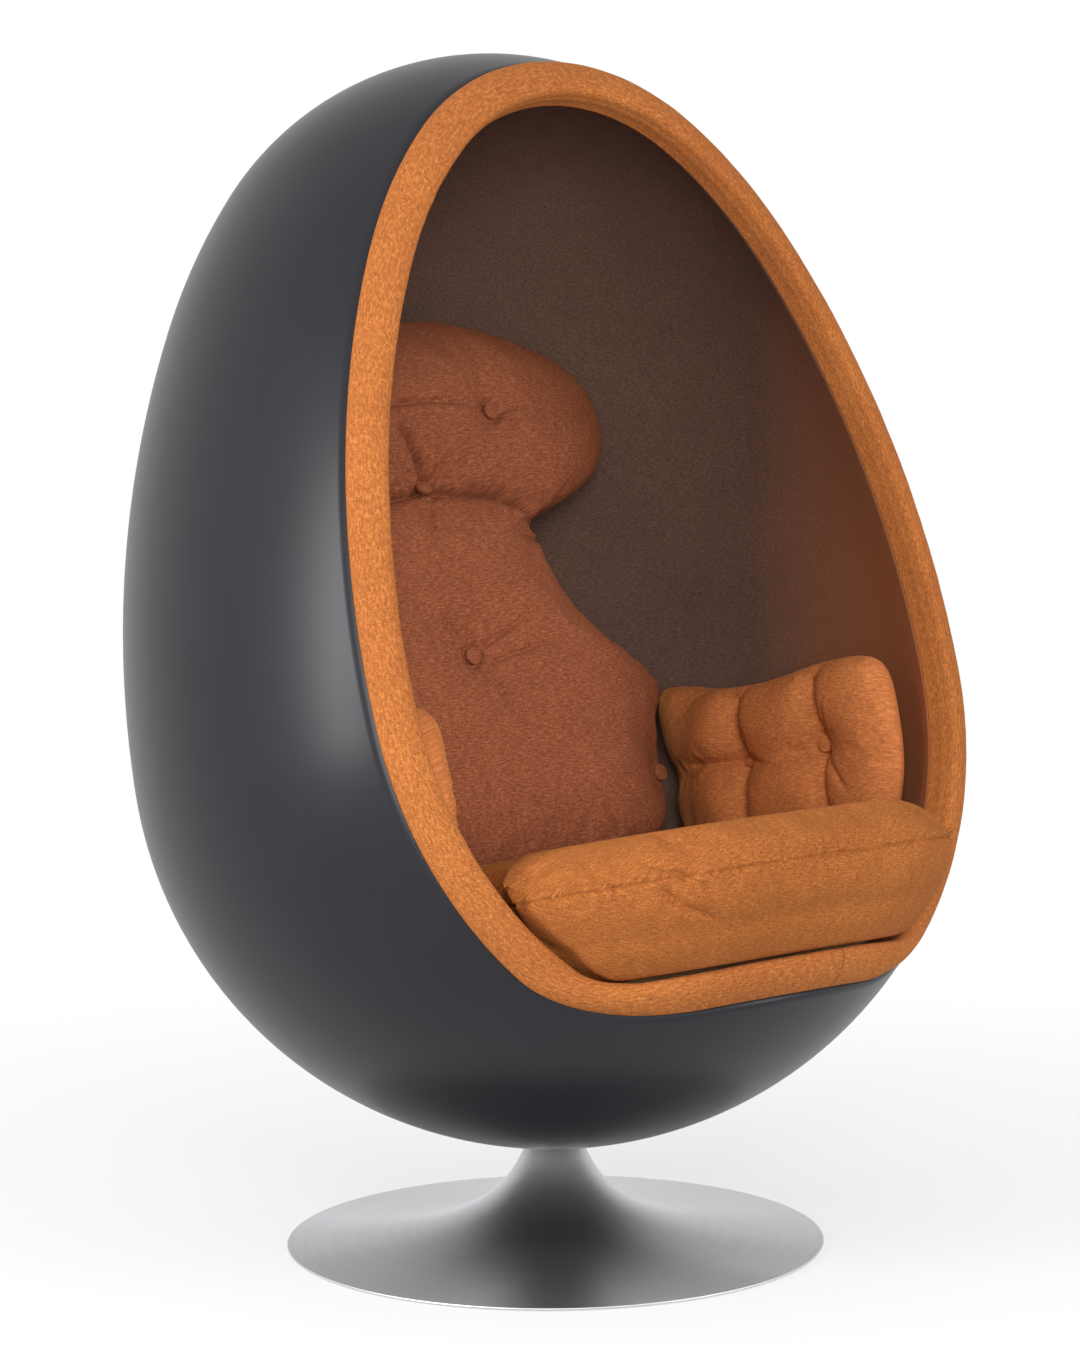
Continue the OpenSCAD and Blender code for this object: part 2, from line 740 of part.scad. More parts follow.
function back_front(q, t) =
    let (mirrored = [abs(q[0]), q[1]])
    fullness(t) * (back_front_t
        + head_extra_t * ease((q[1] - crease_v(q[0])) / (head_rise_share * (head_h - waist_h)))
        - crease_depth * exp(-pow((q[1] - crease_v(q[0])) / crease_w, 2)))
    - tuft_depth * min(1, tuft_grip_share * fullness(t)) * (dip(q, lumbar_button, tuft_w)
        + dip(mirrored, head_button, tuft_w) + dip(mirrored, corner_button, tuft_w));

// A point of the cushion, kept off the lined wall where the cushion rests against it
function back_place(q, h) =
    let (y = back_y + q[1] * sin(back_angle) - h * cos(back_angle),
        z = q[1] * cos(back_angle) + h * sin(back_angle))
    [sign(q[0]) * min(abs(q[0]), egg_x(y, z, wall_t + bond_gap)), -h, q[1]];

module back_cushion() {
    color("#8a4a22") in_back() pad(
        back_outline, back_heart, function(q, h) back_place(q, h),
        function(q, t) back_front(q, t),
        function(q, t) -back_rear_t * fullness(t), 12, 4
    );
}

// Foam block that holds the back cushion off the rear wall, standing on the deck
support_shares = [[0.66, -1.2], [0.66, 0.2], [0.5, 0.75], [0.5, 1.6]];
module back_support() {
    outline = [for (s = support_shares) [s[0] * hip_half_w, s[1] * waist_h]];
    color("#d9c9a4") in_pod() difference() {
        intersection() {
            rotate_extrude($fn = fine) egg_outline(wall_t + bond_gap);
            translate([0, far / 2, 0]) rotate([90, 0, 0]) linear_extrude(height = far / 2)
                polygon(concat(outline,
                    [for (k = [len(outline) - 1:-1:0]) [-outline[k][0], outline[k][1]]]));
        }
        translate([-far / 2, -far / 2, -deck_depth + bond_gap - far]) cube(far);
        translate([0, back_y, 0]) rotate([-back_angle, 0, 0])
            translate([-far / 2, back_rear_t + bond_gap - far, -far / 2]) cube(far);
    }
}

// An arm cushion against the wall, seen from the seat: across towards the front, and up
arm_seam = seat_half_w + arm_gap + arm_puff_t;
arm_shares = [[0.02, 0], [0.35, 0], [0.7, 0.01], [0.92, 0.12], [1, 0.38], [1, 0.68], [0.94, 0.92],
    [0.78, 1.01], [0.5, 1], [0.25, 1.03], [0.03, 1.08], [-0.01, 0.7], [0, 0.35]];
function arm_place(s) = [lerp(-arm_rear, arm_front, s[0]), lerp(-arm_low, arm_top, s[1])];
arm_outline = through([for (s = arm_shares) arm_place(s)], 3);
arm_heart = arm_place([0.5, 0.5]);
arm_button_shares = [[0.418, 0.62], [0.756, 0.62]];
arm_buttons = [for (s = arm_button_shares) arm_place(s)];
arm_flare_start = 60;
arm_flare_run = 80;
arm_pleat_w = 16;
arm_pleat_depth = 10;

function arm_wall_x(q) = egg_x(q[0], q[1], wall_t) - bond_gap / 2;
function arm_seam_x(q) =
    min(arm_seam + arm_flare * ease((-q[0] - arm_flare_start) / arm_flare_run), arm_wall_x(q));

function arm_front_h(q, t) =
    arm_puff_t * fullness(t)
    - min(1, tuft_grip_share * fullness(t)) * (
        tuft_depth * (dip(q, arm_buttons[0], tuft_w) + dip(q, arm_buttons[1], tuft_w))
        + arm_pleat_depth * max([for (b = arm_buttons) exp(-pow((q[0] - b[0]) / arm_pleat_w, 2))])
            * (1 - dip(q, [q[0], arm_buttons[0][1]], tuft_w)));

module arm_cushion() {
    in_pod() pad(
        arm_outline, arm_heart, function(q, h) [arm_seam_x(q) - h, -q[0], q[1]],
        function(q, t) arm_front_h(q, t),
        function(q, t) -fullness(t) * (arm_wall_x(q) - arm_seam_x(q)),
        9, 4
    );
}

module arm_cushion_right() {
    color("#9a5424") arm_cushion();
}

module arm_cushion_left() {
    color("#9a5424") mirror([1, 0, 0]) arm_cushion();
}

// A covered button: a shallow dome whose foot is drawn into the padding
button_sink_share = 0.35;
button_sides = 48;
module button() {
    dome_r = (button_r * button_r + button_t * button_t) / (2 * button_t);
    translate([0, 0, -button_sink_share * button_t]) intersection() {
        cylinder(r = button_r, h = button_t, $fn = button_sides);
        translate([0, 0, button_t - dome_r]) sphere(dome_r, $fn = button_sides);
    }
}

// A button on the back cushion at a place in its plane
module back_button(q, t) {
    in_back() translate([q[0], -back_front(q, t), q[1]]) rotate([90, 0, 0]) button();
}

// How far in from the seam the buttons lie, as shares of the way to the pad's heart
head_in_share = 0.39;
middle_in_share = 0.68;
corner_in_share = 0.07;
arm_in_share = 0.6;
module head_buttons() {
    color("#8a4a22") for (side = [-1, 1])
        back_button([side * head_button[0], head_button[1]], head_in_share);
}

module back_buttons() {
    color("#8a4a22") for (q = [waist_button, lumbar_button]) back_button(q, middle_in_share);
}

module corner_buttons() {
    color("#8a4a22") for (side = [-1, 1])
        back_button([side * corner_button[0], corner_button[1]], corner_in_share);
}

module arm_button_pair() {
    in_pod() for (q = arm_buttons)
        translate([arm_seam_x(q) - arm_front_h(q, arm_in_share), -q[0], q[1]])
            rotate([0, -90, 0]) button();
}

module arm_buttons_right() {
    color("#9a5424") arm_button_pair();
}

module arm_buttons_left() {
    color("#9a5424") mirror([1, 0, 0]) arm_button_pair();
}

floor_pad();
ballast_plate();
base_trumpet();
column_tube();
column_gussets();
lower_bush();
upper_bush();
thrust_washer();
spindle();
retaining_washer();
retaining_clip();
collar_ring();
outer_shell();
mounting_block();
mounting_plate();
plate_bolts();
seat_deck();
deck_cleats();
deck_screws();
lining_foam();
lining_cloth();
rim_roll();
seat_cushion();
back_support();
back_cushion();
arm_cushion_left();
arm_cushion_right();
head_buttons();
back_buttons();
corner_buttons();
arm_buttons_left();
arm_buttons_right();
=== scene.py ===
"""Looks of the pod chair: an egg-shaped shell lined with cloth, full of loose cushions,
leaning back over a spun steel base on which it turns. Lengths are in metres."""
import json
import math

import bmesh
import bpy
import numpy as np
from mathutils import Matrix, Vector, noise


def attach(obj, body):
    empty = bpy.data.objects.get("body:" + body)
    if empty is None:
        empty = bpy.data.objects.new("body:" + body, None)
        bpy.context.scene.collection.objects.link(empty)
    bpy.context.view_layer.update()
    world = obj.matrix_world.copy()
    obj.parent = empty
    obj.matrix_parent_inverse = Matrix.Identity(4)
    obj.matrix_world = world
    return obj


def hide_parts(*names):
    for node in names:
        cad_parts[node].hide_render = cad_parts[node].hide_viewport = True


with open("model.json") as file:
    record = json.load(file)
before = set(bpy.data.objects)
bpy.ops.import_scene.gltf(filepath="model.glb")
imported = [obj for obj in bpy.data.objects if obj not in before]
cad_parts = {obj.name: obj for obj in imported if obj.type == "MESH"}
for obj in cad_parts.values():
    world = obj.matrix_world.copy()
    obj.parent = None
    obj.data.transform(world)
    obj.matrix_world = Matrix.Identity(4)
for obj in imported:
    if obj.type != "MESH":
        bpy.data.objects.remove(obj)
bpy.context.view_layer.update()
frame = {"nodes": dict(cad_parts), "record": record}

# The egg: the radii of its four arcs and the angles at which they meet
BELLY_R = 0.455
SHOULDER_R = 0.640
CROWN_R = 0.335
SIDE_ANGLE = math.radians(26)
CROWN_ANGLE = math.radians(40)
LEAN = math.radians(14)
STEM_H = 0.115
CENTRE_H = STEM_H + BELLY_R
SHELL_T = 0.006
WALL_T = 0.0366
LINING_T = 0.002

SIDE_R = (BELLY_R + SHOULDER_R * (math.cos(CROWN_ANGLE) - math.cos(SIDE_ANGLE))
          - CROWN_R * math.cos(CROWN_ANGLE)) / (1 - math.cos(SIDE_ANGLE))
SIDE_X = BELLY_R - SIDE_R
SHOULDER_X = SIDE_X + (SIDE_R - SHOULDER_R) * math.cos(SIDE_ANGLE)
SHOULDER_Z = (SIDE_R - SHOULDER_R) * math.sin(SIDE_ANGLE)
CROWN_Z = SHOULDER_Z + (SHOULDER_R - CROWN_R) * math.sin(CROWN_ANGLE)

# The cut of the opening, seen from the side as points (y, z) about the belly's centre
KNEE = np.array([-0.238, -0.327])
KNEE_R = 0.064
CUT_ANGLE = math.radians(3.7)
LIP_ANGLE = math.radians(2.5)
RIM_BULGE = 0.031
DECK_Z = -0.2835
UP_DIR = np.array([math.sin(CUT_ANGLE), math.cos(CUT_ANGLE)])
CUT_OUT = np.array([-math.cos(CUT_ANGLE), math.sin(CUT_ANGLE)])
LIP_DIR = np.array([-math.cos(LIP_ANGLE), math.sin(LIP_ANGLE)])
LIP_OUT = np.array([math.sin(LIP_ANGLE), math.cos(LIP_ANGLE)])
KNEE_REACH = KNEE_R / math.tan((math.pi / 2 + CUT_ANGLE - LIP_ANGLE) / 2)
KNEE_C = KNEE + UP_DIR * KNEE_REACH + CUT_OUT * KNEE_R

# The cushions
SEAT_SEAM = -0.190
SEAT_UP = 0.045
SEAT_LOW = 0.0932
SEAT_HALF_W = 0.262
SEAT_PROUD = 0.010
SEAT_EDGE = 0.058
SEAT_LOW_EDGE = 0.022
SEAT_FRONT_R = 0.560
SEAT_REAR = 0.128
BACK_Y = 0.150
BACK_ANGLE = math.radians(9)
BACK_LOW = 0.138
HIP_HALF_W = 0.268
WAIST_HALF_W = 0.170
WAIST_H = 0.248
HEAD_HALF_W = 0.300
HEAD_H = 0.490
BACK_FRONT_T = 0.068
BACK_REAR_T = 0.032
HEAD_EXTRA_T = 0.034
ARM_TOP = 0.024
ARM_LOW = 0.198
ARM_FRONT = 0.195
ARM_REAR = 0.190
ARM_FLARE = 0.022
ARM_PUFF_T = 0.046
ARM_SEAM = SEAT_HALF_W + 0.005 + ARM_PUFF_T
WALL_GAP = 0.0008
BUTTON_R = 0.010
BUTTON_T = 0.007
BUTTON_LIFT = 0.0030
CREASE_LIFT = 0.0130

# The base
BASE_R = 0.295
NECK_R = 0.032
NECK_Z = 0.1099
FLARE_LOW = 0.0035
FLARE_SHARE = 1.66
SHEET_T = 0.002


def egg_r(z, inset=0.0):
    """Radius of the egg at height z about the belly's centre, drawn in by an inset."""
    z = np.asarray(z, float)
    side_top = (SIDE_R - inset) * math.sin(SIDE_ANGLE)
    shoulder_top = SHOULDER_Z + (SHOULDER_R - inset) * math.sin(CROWN_ANGLE)
    root = lambda r, h: np.sqrt(np.maximum(0, r * r - h * h))
    return np.where(z <= 0, root(BELLY_R - inset, z), np.where(
        z <= side_top, SIDE_X + root(SIDE_R - inset, z), np.where(
            z <= shoulder_top, SHOULDER_X + root(SHOULDER_R - inset, z - SHOULDER_Z),
            root(CROWN_R - inset, z - CROWN_Z))))


def egg_x(y, z, inset=0.0):
    return np.sqrt(np.maximum(0, egg_r(z, inset) ** 2 - np.asarray(y) ** 2))


def turned(points, angle):
    """Tips points about the x axis, with what is high going towards +y."""
    p = np.asarray(points, float)
    c, s = math.cos(angle), math.sin(angle)
    return np.stack([p[:, 0], p[:, 1] * c + p[:, 2] * s, p[:, 2] * c - p[:, 1] * s], 1)


def in_pod(points):
    """Takes points about the egg's own axis to their place over the base."""
    return turned(points, LEAN) + [0, 0, CENTRE_H]


def from_pod(points):
    return turned(np.asarray(points, float) - [0, 0, CENTRE_H], -LEAN)


def in_back(points):
    """Takes points of the back cushion's own plane to their place over the base."""
    return in_pod(turned(points, BACK_ANGLE) + [0, BACK_Y, 0])


def from_back(points):
    return turned(from_pod(points) - [0, BACK_Y, 0], -BACK_ANGLE)


def unit(vector):
    return np.asarray(vector, float) / np.linalg.norm(vector)


def lerp(a, b, t):
    return a + (b - a) * t


def ease(t):
    s = np.clip(t, 0, 1)
    return s * s * (3 - 2 * s)


def bend(a, b, c, d, t):
    """A point at a share of the smooth curve from b to c, with a before them and d after."""
    return (2 * b + (c - a) * t + (2 * a - 5 * b + 4 * c - d) * t * t
            + (3 * b - a - 3 * c + d) * t ** 3) / 2


def passed(line):
    """How long a line is up to each of its points."""
    return np.concatenate([[0], np.cumsum(np.linalg.norm(np.diff(line, axis=0), axis=1))])


def round_turn(steps):
    return np.arange(steps) * 2 * math.pi / steps


def placed(name, data):
    """A new object with that mesh, camera or lamp."""
    obj = bpy.data.objects.new(name, data)
    bpy.context.scene.collection.objects.link(obj)
    return obj


def mesh_piece(name, points, faces, smooth=True):
    """A new object with that mesh, at the origin."""
    mesh = bpy.data.meshes.new(name)
    mesh.from_pydata([tuple(p) for p in points], [], [tuple(f) for f in faces])
    mesh.validate()
    mesh.polygons.foreach_set("use_smooth", [smooth] * len(mesh.polygons))
    return placed(name, mesh)


def grid_faces(rows, columns, start=0, wrap=False):
    """Quads between closed rows of points. Wrap joins the last row to the first."""
    faces = []
    for j in range(rows if wrap else rows - 1):
        a, b = start + j * columns, start + (j + 1) % rows * columns
        for i in range(columns):
            k = (i + 1) % columns
            faces.append((a + i, a + k, b + k, b + i))
    return faces


def cap(ring, centre):
    n = len(ring)
    return [(ring[i], ring[(i + 1) % n], centre) for i in range(n)]


def skin_faces(rows, columns):
    """A skin over closed rows of points, whose ends close on the two points after them."""
    end = rows * columns
    return grid_faces(rows, columns) + cap(list(range(columns))[::-1], end) \
        + cap(list(range(end - columns, end)), end + 1)


def point_outwards(obj):
    """Turns every face of a closed mesh outwards."""
    work = bmesh.new()
    work.from_mesh(obj.data)
    bmesh.ops.recalc_face_normals(work, faces=work.faces)
    if work.calc_volume(signed=True) < 0:
        bmesh.ops.reverse_faces(work, faces=work.faces)
    work.to_mesh(obj.data)
    work.free()
    return obj


def vectors(source, key):
    """What Blender keeps for each of a mesh's points, as rows of three numbers."""
    flat = np.zeros(len(source) * 3)
    source.foreach_get(key, flat)
    return flat.reshape(-1, 3)


def coordinates(obj):
    return vectors(obj.data.vertices, "co")


def set_coordinates(obj, points):
    obj.data.vertices.foreach_set("co", np.asarray(points, float).ravel())
    obj.data.update()


def normals(obj):
    return vectors(obj.data.vertex_normals, "vector")


def ripple(points, size, seed):
    """Smooth noise from -1 to 1 with lumps of about that size."""
    shift = Vector((seed * 17.3, seed * 5.1, seed * 9.7))
    return np.array([noise.noise(Vector(p / size) + shift) for p in points])


def lay_cloth(obj, u, v):
    """Keeps where each point lies on the flat cloth, in metres, for the weave."""
    flat = np.zeros((len(obj.data.vertices), 3))
    flat[:, 0], flat[:, 1] = u, v
    attribute = obj.data.attributes.new("cloth", "FLOAT_VECTOR", "POINT")
    attribute.data.foreach_set("vector", flat.ravel())


def on_cut(h, s):
    return KNEE_C - CUT_OUT * (KNEE_R - h) + UP_DIR * s


LIP_RISE = 0.2
LIP_BASE = 0.0003


def on_front(h, share):
    """Round the knee up to a share of one, and on along the lip, growing as it goes."""
    h += LIP_RISE * ease(share) * max(0, h - LIP_BASE)
    if share >= 1:
        return KNEE_C - LIP_OUT * (KNEE_R - h) + LIP_DIR * (share - 1) * KNEE_R
    a = -CUT_ANGLE + share * (CUT_ANGLE - math.pi / 2 - LIP_ANGLE)
    return KNEE_C + (KNEE_R - h) * np.array([math.cos(a), math.sin(a)])


def leaves_egg(line, inset, high):
    low = 0.0
    for _ in range(40):
        half = (low + high) / 2
        y, z = line(half)
        if egg_r(z, inset) > abs(y):
            low = half
        else:
            high = half
    return low


CUT_STEPS = 200
FRONT_STEPS = 90


def rim_side(inset, h):
    """One half of a line that follows the cut at a height over it, from the top down."""
    top = leaves_egg(lambda s: on_cut(h, s), inset, 2.0)
    front = leaves_egg(lambda s: on_front(h, s), inset, 30.0)
    side = [on_cut(h, top * math.cos(math.pi / 2 * k / CUT_STEPS)) for k in range(CUT_STEPS + 1)]
    side += [on_front(h, front * math.sin(math.pi / 2 * k / FRONT_STEPS))
             for k in range(1, FRONT_STEPS + 1)]
    side = np.array(side)
    x = egg_x(side[:, 0], side[:, 1], inset)
    x[0] = x[-1] = 0
    return np.column_stack([x, side])


def whole_loop(half):
    return np.vstack([half, half[-2:0:-1] * [-1, 1, 1]])


WALL_HEART = np.array([0.0, 0.0, 0.1])
WALL_POLE = np.array([0.0, 0.44, 0.12])


def onto_egg(directions, inset):
    """Where lines from the heart of the wall in some directions meet the egg."""
    low = np.zeros(len(directions))
    high = np.full(len(directions), 2.0)
    for _ in range(45):
        half = (low + high) / 2
        p = WALL_HEART + directions * half[:, None]
        inside = (np.hypot(p[:, 0], p[:, 1]) < egg_r(p[:, 2], inset)) & \
            (p[:, 2] > inset - BELLY_R) & (p[:, 2] < CROWN_Z + CROWN_R - inset)
        low, high = np.where(inside, half, low), np.where(inside, high, half)
    return WALL_HEART + directions * low[:, None]


def skin_to_edge(edge, inset, to_pole, rings):
    """Rows of points on the egg that spread from a pole on it out to a closed edge."""
    to_edge = edge - WALL_HEART
    to_edge /= np.linalg.norm(to_edge, axis=1)[:, None]
    angle = np.arccos(np.clip(to_edge @ to_pole, -1, 1))
    rows = []
    for k in range(1, rings):
        t = k / rings
        d = (np.sin((1 - t) * angle)[:, None] * to_pole + np.sin(t * angle)[:, None] * to_edge) \
            / np.sin(angle)[:, None]
        rows.append(onto_egg(d, inset))
    rows.append(edge)
    return np.array(rows)


def egg_wall(name, edge_at, insets, rings):
    """A closed wall between two skins of the egg that end on the same kind of edge."""
    to_pole = unit(WALL_POLE - WALL_HEART)
    points, faces, last_rows = [], [], []
    for inset in insets:
        start = len(points)
        rows = skin_to_edge(edge_at(inset), inset, to_pole, rings)
        n = rows.shape[1]
        points.extend(rows.reshape(-1, 3))
        faces += grid_faces(rings, n, start)
        points.append(onto_egg(to_pole[None, :], inset)[0])
        faces += cap([start + i for i in range(n)][::-1], len(points) - 1)
        last_rows.append(start + (rings - 1) * n)
    a, b = last_rows
    faces += [(a + i, a + (i + 1) % n, b + (i + 1) % n, b + i) for i in range(n)]
    return point_outwards(mesh_piece(name, in_pod(points), faces))


def make_shell():
    return egg_wall("shell_moulding", lambda inset: whole_loop(rim_side(inset, 0.0))[::2],
                    (0.0, SHELL_T), 90)


def lining_edge(inset):
    """The lining's edge: down the cut, round the knee as far as the deck, and round the back."""
    half = rim_side(inset, 0.0)
    low = DECK_Z + 0.0005
    half = half[half[:, 2] > low]
    last = half[-1]
    turn = math.atan2(last[0], -last[1])
    r = float(egg_r(low, inset))
    arc = [[r * math.sin(a), -r * math.cos(a), low]
           for a in np.linspace(turn, math.pi, 140)[1:]]
    return whole_loop(np.vstack([even_steps(half, 180), even_steps(np.array([last] + arc), 90)[1:]]))


def even_steps(line, count):
    """The same line with its points at even distances."""
    lengths = passed(line)
    places = np.linspace(0, lengths[-1], count)
    return np.column_stack([np.interp(places, lengths, line[:, i]) for i in range(3)])


def make_lining():
    obj = egg_wall("lining_weave", lining_edge, (WALL_T - LINING_T, WALL_T), 80)
    p = from_pod(coordinates(obj))
    lay_cloth(obj, np.arctan2(p[:, 0], p[:, 1]) * 0.4, p[:, 2])
    return obj


RIM_SECTION = np.array([[0, 0], [-0.12, 0.17], [-0.16, 0.37], [-0.14, 0.58], [-0.06, 0.78],
                        [0.07, 0.94], [0.26, 1], [0.43, 0.87], [0.56, 0.69], [0.68, 0.53],
                        [0.78, 0.35], [0.89, 0.17], [1, 0]])
RIM_STEPS = 4
RIM_GIRTH = 0.072
# The unevenness of the roll: heights, sizes and seeds
RIM_RIPPLES = [(0.0007, 0.045, 1), (0.0004, 0.016, 2)]


def rim_section():
    """The roll's section as shares of the wall and of the bulge, smooth between its points."""
    ends = [2 * RIM_SECTION[0] - RIM_SECTION[1], 2 * RIM_SECTION[-1] - RIM_SECTION[-2]]
    p = np.vstack([ends[0], RIM_SECTION, ends[1]])
    out = [p[1]]
    for corners in zip(p, p[1:], p[2:], p[3:]):
        out += [bend(*corners, k / RIM_STEPS) for k in range(1, RIM_STEPS + 1)]
    return np.array(out)


def make_rim():
    """The padded rim: a rounded roll carried along the cut."""
    section = rim_section()
    sides = len(section)
    lines = [whole_loop(rim_side(s[0] * WALL_T, lerp(0.0004, RIM_BULGE, s[1]))) for s in section]
    n = len(lines[0])
    points = np.vstack(lines)
    obj = mesh_piece("rim_padding", in_pod(points), grid_faces(sides, n, wrap=True))
    point_outwards(obj)
    u = np.tile(passed(lines[sides // 2]), sides)
    v = np.repeat(np.linspace(0, RIM_GIRTH, sides), n)
    p, normal = coordinates(obj), normals(obj)
    lift = sum(height * ripple(p, size, seed) for height, size, seed in RIM_RIPPLES)
    top = np.sin(np.pi * v / RIM_GIRTH)
    set_coordinates(obj, p + normal * (lift * top)[:, None])
    lay_cloth(obj, u, v)
    return obj


def flare_point(t):
    return np.array([NECK_R * (BASE_R / NECK_R) ** t,
                     FLARE_LOW + (NECK_Z - FLARE_LOW) * (1 - t) ** FLARE_SHARE])


def lathe(name, profile, sides):
    """Turns a closed profile of (radius, height) about the swivel axis."""
    profile = np.asarray(profile)
    rows = [[(r * math.cos(a), r * math.sin(a), z) for a in round_turn(sides)]
            for r, z in profile]
    points = np.array(rows).reshape(-1, 3)
    obj = mesh_piece(name, points, grid_faces(len(profile), sides, wrap=True))
    return point_outwards(obj)


def make_base():
    ts = np.linspace(0, 1, 90)
    outer = [flare_point(t) for t in ts]
    inner = []
    for t in ts:
        d = flare_point(min(1, t + 0.001)) - flare_point(max(0, t - 0.001))
        inner.append(flare_point(t) + np.array([d[1], -d[0]]) / np.linalg.norm(d) * SHEET_T)
    tip = (outer[-1] + inner[-1]) / 2 + [0.0006, 0]
    obj = lathe("base_spinning", outer + [tip] + inner[::-1], 256)
    obj.data.set_sharp_from_angle(angle=math.radians(50))
    return obj


def through(points, steps):
    """A smooth closed line through points."""
    p = np.asarray(points, float)
    out = []
    for corners in zip(np.roll(p, 1, 0), p, np.roll(p, -1, 0), np.roll(p, -2, 0)):
        out += [bend(*corners, k / steps) for k in range(steps)]
    return np.array(out)


def both_sides(half):
    half = [np.asarray(p, float) for p in half]
    return half + [p * [-1, 1] for p in half[-2:0:-1]]


def fullness(t):
    return (1 - (1 - t) ** 2.4) ** (1 / 2.4)


def to_path(q, path):
    """Distance from points to a path in the plane, and how far along the path that is."""
    path = np.asarray(path, float)
    best = np.full(len(q), 1e9)
    share = np.zeros(len(q))
    lengths = np.linalg.norm(np.diff(path, axis=0), axis=1)
    total, passed = lengths.sum(), 0.0
    for a, b, length in zip(path[:-1], path[1:], lengths):
        t = np.clip(((q - a) @ (b - a)) / length ** 2, 0, 1)
        d = np.linalg.norm(q - (a + t[:, None] * (b - a)), axis=1)
        closer = d < best
        best = np.where(closer, d, best)
        share = np.where(closer, (passed + t * length) / total, share)
        passed += length
    return best, share


def fold(q, path, depth, width, fade_in=0.1, fade_out=0.7):
    """How deep a fold along a path is at some points, with ends that may fade away."""
    d, s = to_path(q, path)
    strength = np.ones(len(q))
    if fade_in:
        strength = strength * ease(s / fade_in)
    if fade_out:
        strength = strength * ease((1 - s) / fade_out)
    return depth * strength * np.exp(-np.abs(d / width) ** 1.5)


def dip(q, place, width):
    return np.exp(-(np.linalg.norm(q - np.asarray(place), axis=1) / width) ** 2)


def pad_points(outline, heart, front, rear, front_rings, rear_rings):
    """Points (across, height, up) of a stuffed pad, and how many rows it has."""
    outline, heart = np.asarray(outline), np.asarray(heart)

    def shares(count):
        return [1 - math.cos(math.pi / 2 * k / (count + 0.4)) for k in range(1, count + 1)]

    def row(t, height):
        q = outline + (heart - outline) * t
        return np.column_stack([q[:, 0], height(q, t), q[:, 1]])

    rows = [row(t, rear) for t in shares(rear_rings)[::-1]]
    rows.append(row(0, lambda q, t: np.zeros(len(q))))
    rows += [row(t, front) for t in shares(front_rings)]
    return np.array(rows)


def loft(name, rows, place):
    """A closed skin over rows of points, with both ends closed at their middles."""
    count, n = rows.shape[:2]
    points = np.vstack([rows.reshape(-1, 3), rows[0].mean(0), rows[-1].mean(0)])
    return point_outwards(mesh_piece(name, place(points), skin_faces(count, n)))


SKIRT = [[0, -1], [0.3, -1.01], [0.6, -1.01], [0.86, -0.96], [0.97, -0.72], [1, -0.35]]
FLANK = [[1.10, 0], [1.27, 0.165], [0.92, 0.31], [0.42, 0.52], [0.14, 0.74], [0.02, 0.92]]
HEAD = [[0, 0.03], [0.35, 0.1], [0.8, 0.22], [1, 0.45], [0.9, 0.71], [0.42, 0.91], [-0.4, 1.055]]


def back_outline(steps):
    half = [[s[0] * HIP_HALF_W, s[1] * BACK_LOW] for s in SKIRT]
    half += [[lerp(WAIST_HALF_W, HIP_HALF_W, s[0]), s[1] * WAIST_H] for s in FLANK]
    half += [[lerp(WAIST_HALF_W, HEAD_HALF_W, s[0]), lerp(WAIST_H, HEAD_H, s[1])] for s in HEAD]
    half += [[0, HEAD_H + HEAD_CROWN]]
    return through(both_sides(half), steps)


HEAD_CROWN = 0.018
TUFT_W = 0.034
TUFT_DEPTH = 0.010
CREASE_DEPTH = 0.014
CREASE_W = 0.012
BACK_HEART = np.array([0, 0.8 * WAIST_H])
WAIST_BUTTON = np.array([0, 1.16 * WAIST_H])
LUMBAR_BUTTON = np.array([0, 0.37 * WAIST_H])
HEAD_BUTTON = np.array([0.59 * WAIST_HALF_W, lerp(WAIST_H, HEAD_H, 0.5)])
CORNER_BUTTON = np.array([0.93 * HIP_HALF_W, -0.43 * BACK_LOW])


def crease_v(u):
    return lerp(WAIST_BUTTON[1], WAIST_H, np.minimum(1, (u / WAIST_HALF_W) ** 2))


# Folds of the back cushion: the points of each, its depth and width, and how it fades.
# The first few are on both sides alike.
BACK_FOLDS = [
    ([[0.004, 0.288], [0.05, 0.281], [0.09, 0.277], [0.125, 0.262], [0.150, 0.246], [0.176, 0.240]],
     0.0210, 0.0046, 0.0, 0.0),
    ([[0.080, 0.231], [0.13, 0.225], [0.18, 0.228]], 0.0095, 0.0034, 0.6, 0.0),
    ([[0.0, 0.382], [0.045, 0.379], [0.095, 0.372]], 0.0090, 0.0042, 0.0, 0.8),
    ([[0.0, 0.290], [-0.014, 0.318], [-0.030, 0.344], [-0.050, 0.362]], 0.0160, 0.0040, 0.02, 0.3),
    ([[0.0, 0.290], [0.018, 0.308], [0.038, 0.330]], 0.0110, 0.0050, 0.02, 0.7),
    ([[0.010, 0.080], [0.060, 0.088], [0.130, 0.104]], 0.0062, 0.0034),
    ([[0.010, 0.098], [0.050, 0.116], [0.110, 0.146]], 0.0066, 0.0034),
    ([[-0.008, 0.104], [-0.034, 0.130], [-0.074, 0.160]], 0.0066, 0.0034),
    ([[-0.010, 0.096], [-0.040, 0.108], [-0.085, 0.130]], 0.0040, 0.0034),
    ([[0.0, 0.106], [-0.002, 0.128], [-0.002, 0.146]], 0.0060, 0.0034),
    ([[0.008, 0.082], [0.024, 0.035], [0.050, -0.020]], 0.0066, 0.0045),
    ([[-0.006, 0.272], [-0.026, 0.225], [-0.046, 0.185]], 0.0050, 0.0036),
    ([[0.004, 0.272], [0.014, 0.240], [0.018, 0.212]], 0.0040, 0.0036),
    ([[0.112, 0.366], [0.128, 0.372], [0.152, 0.374]], 0.0050, 0.0050),
]
ALIKE_FOLDS = 3


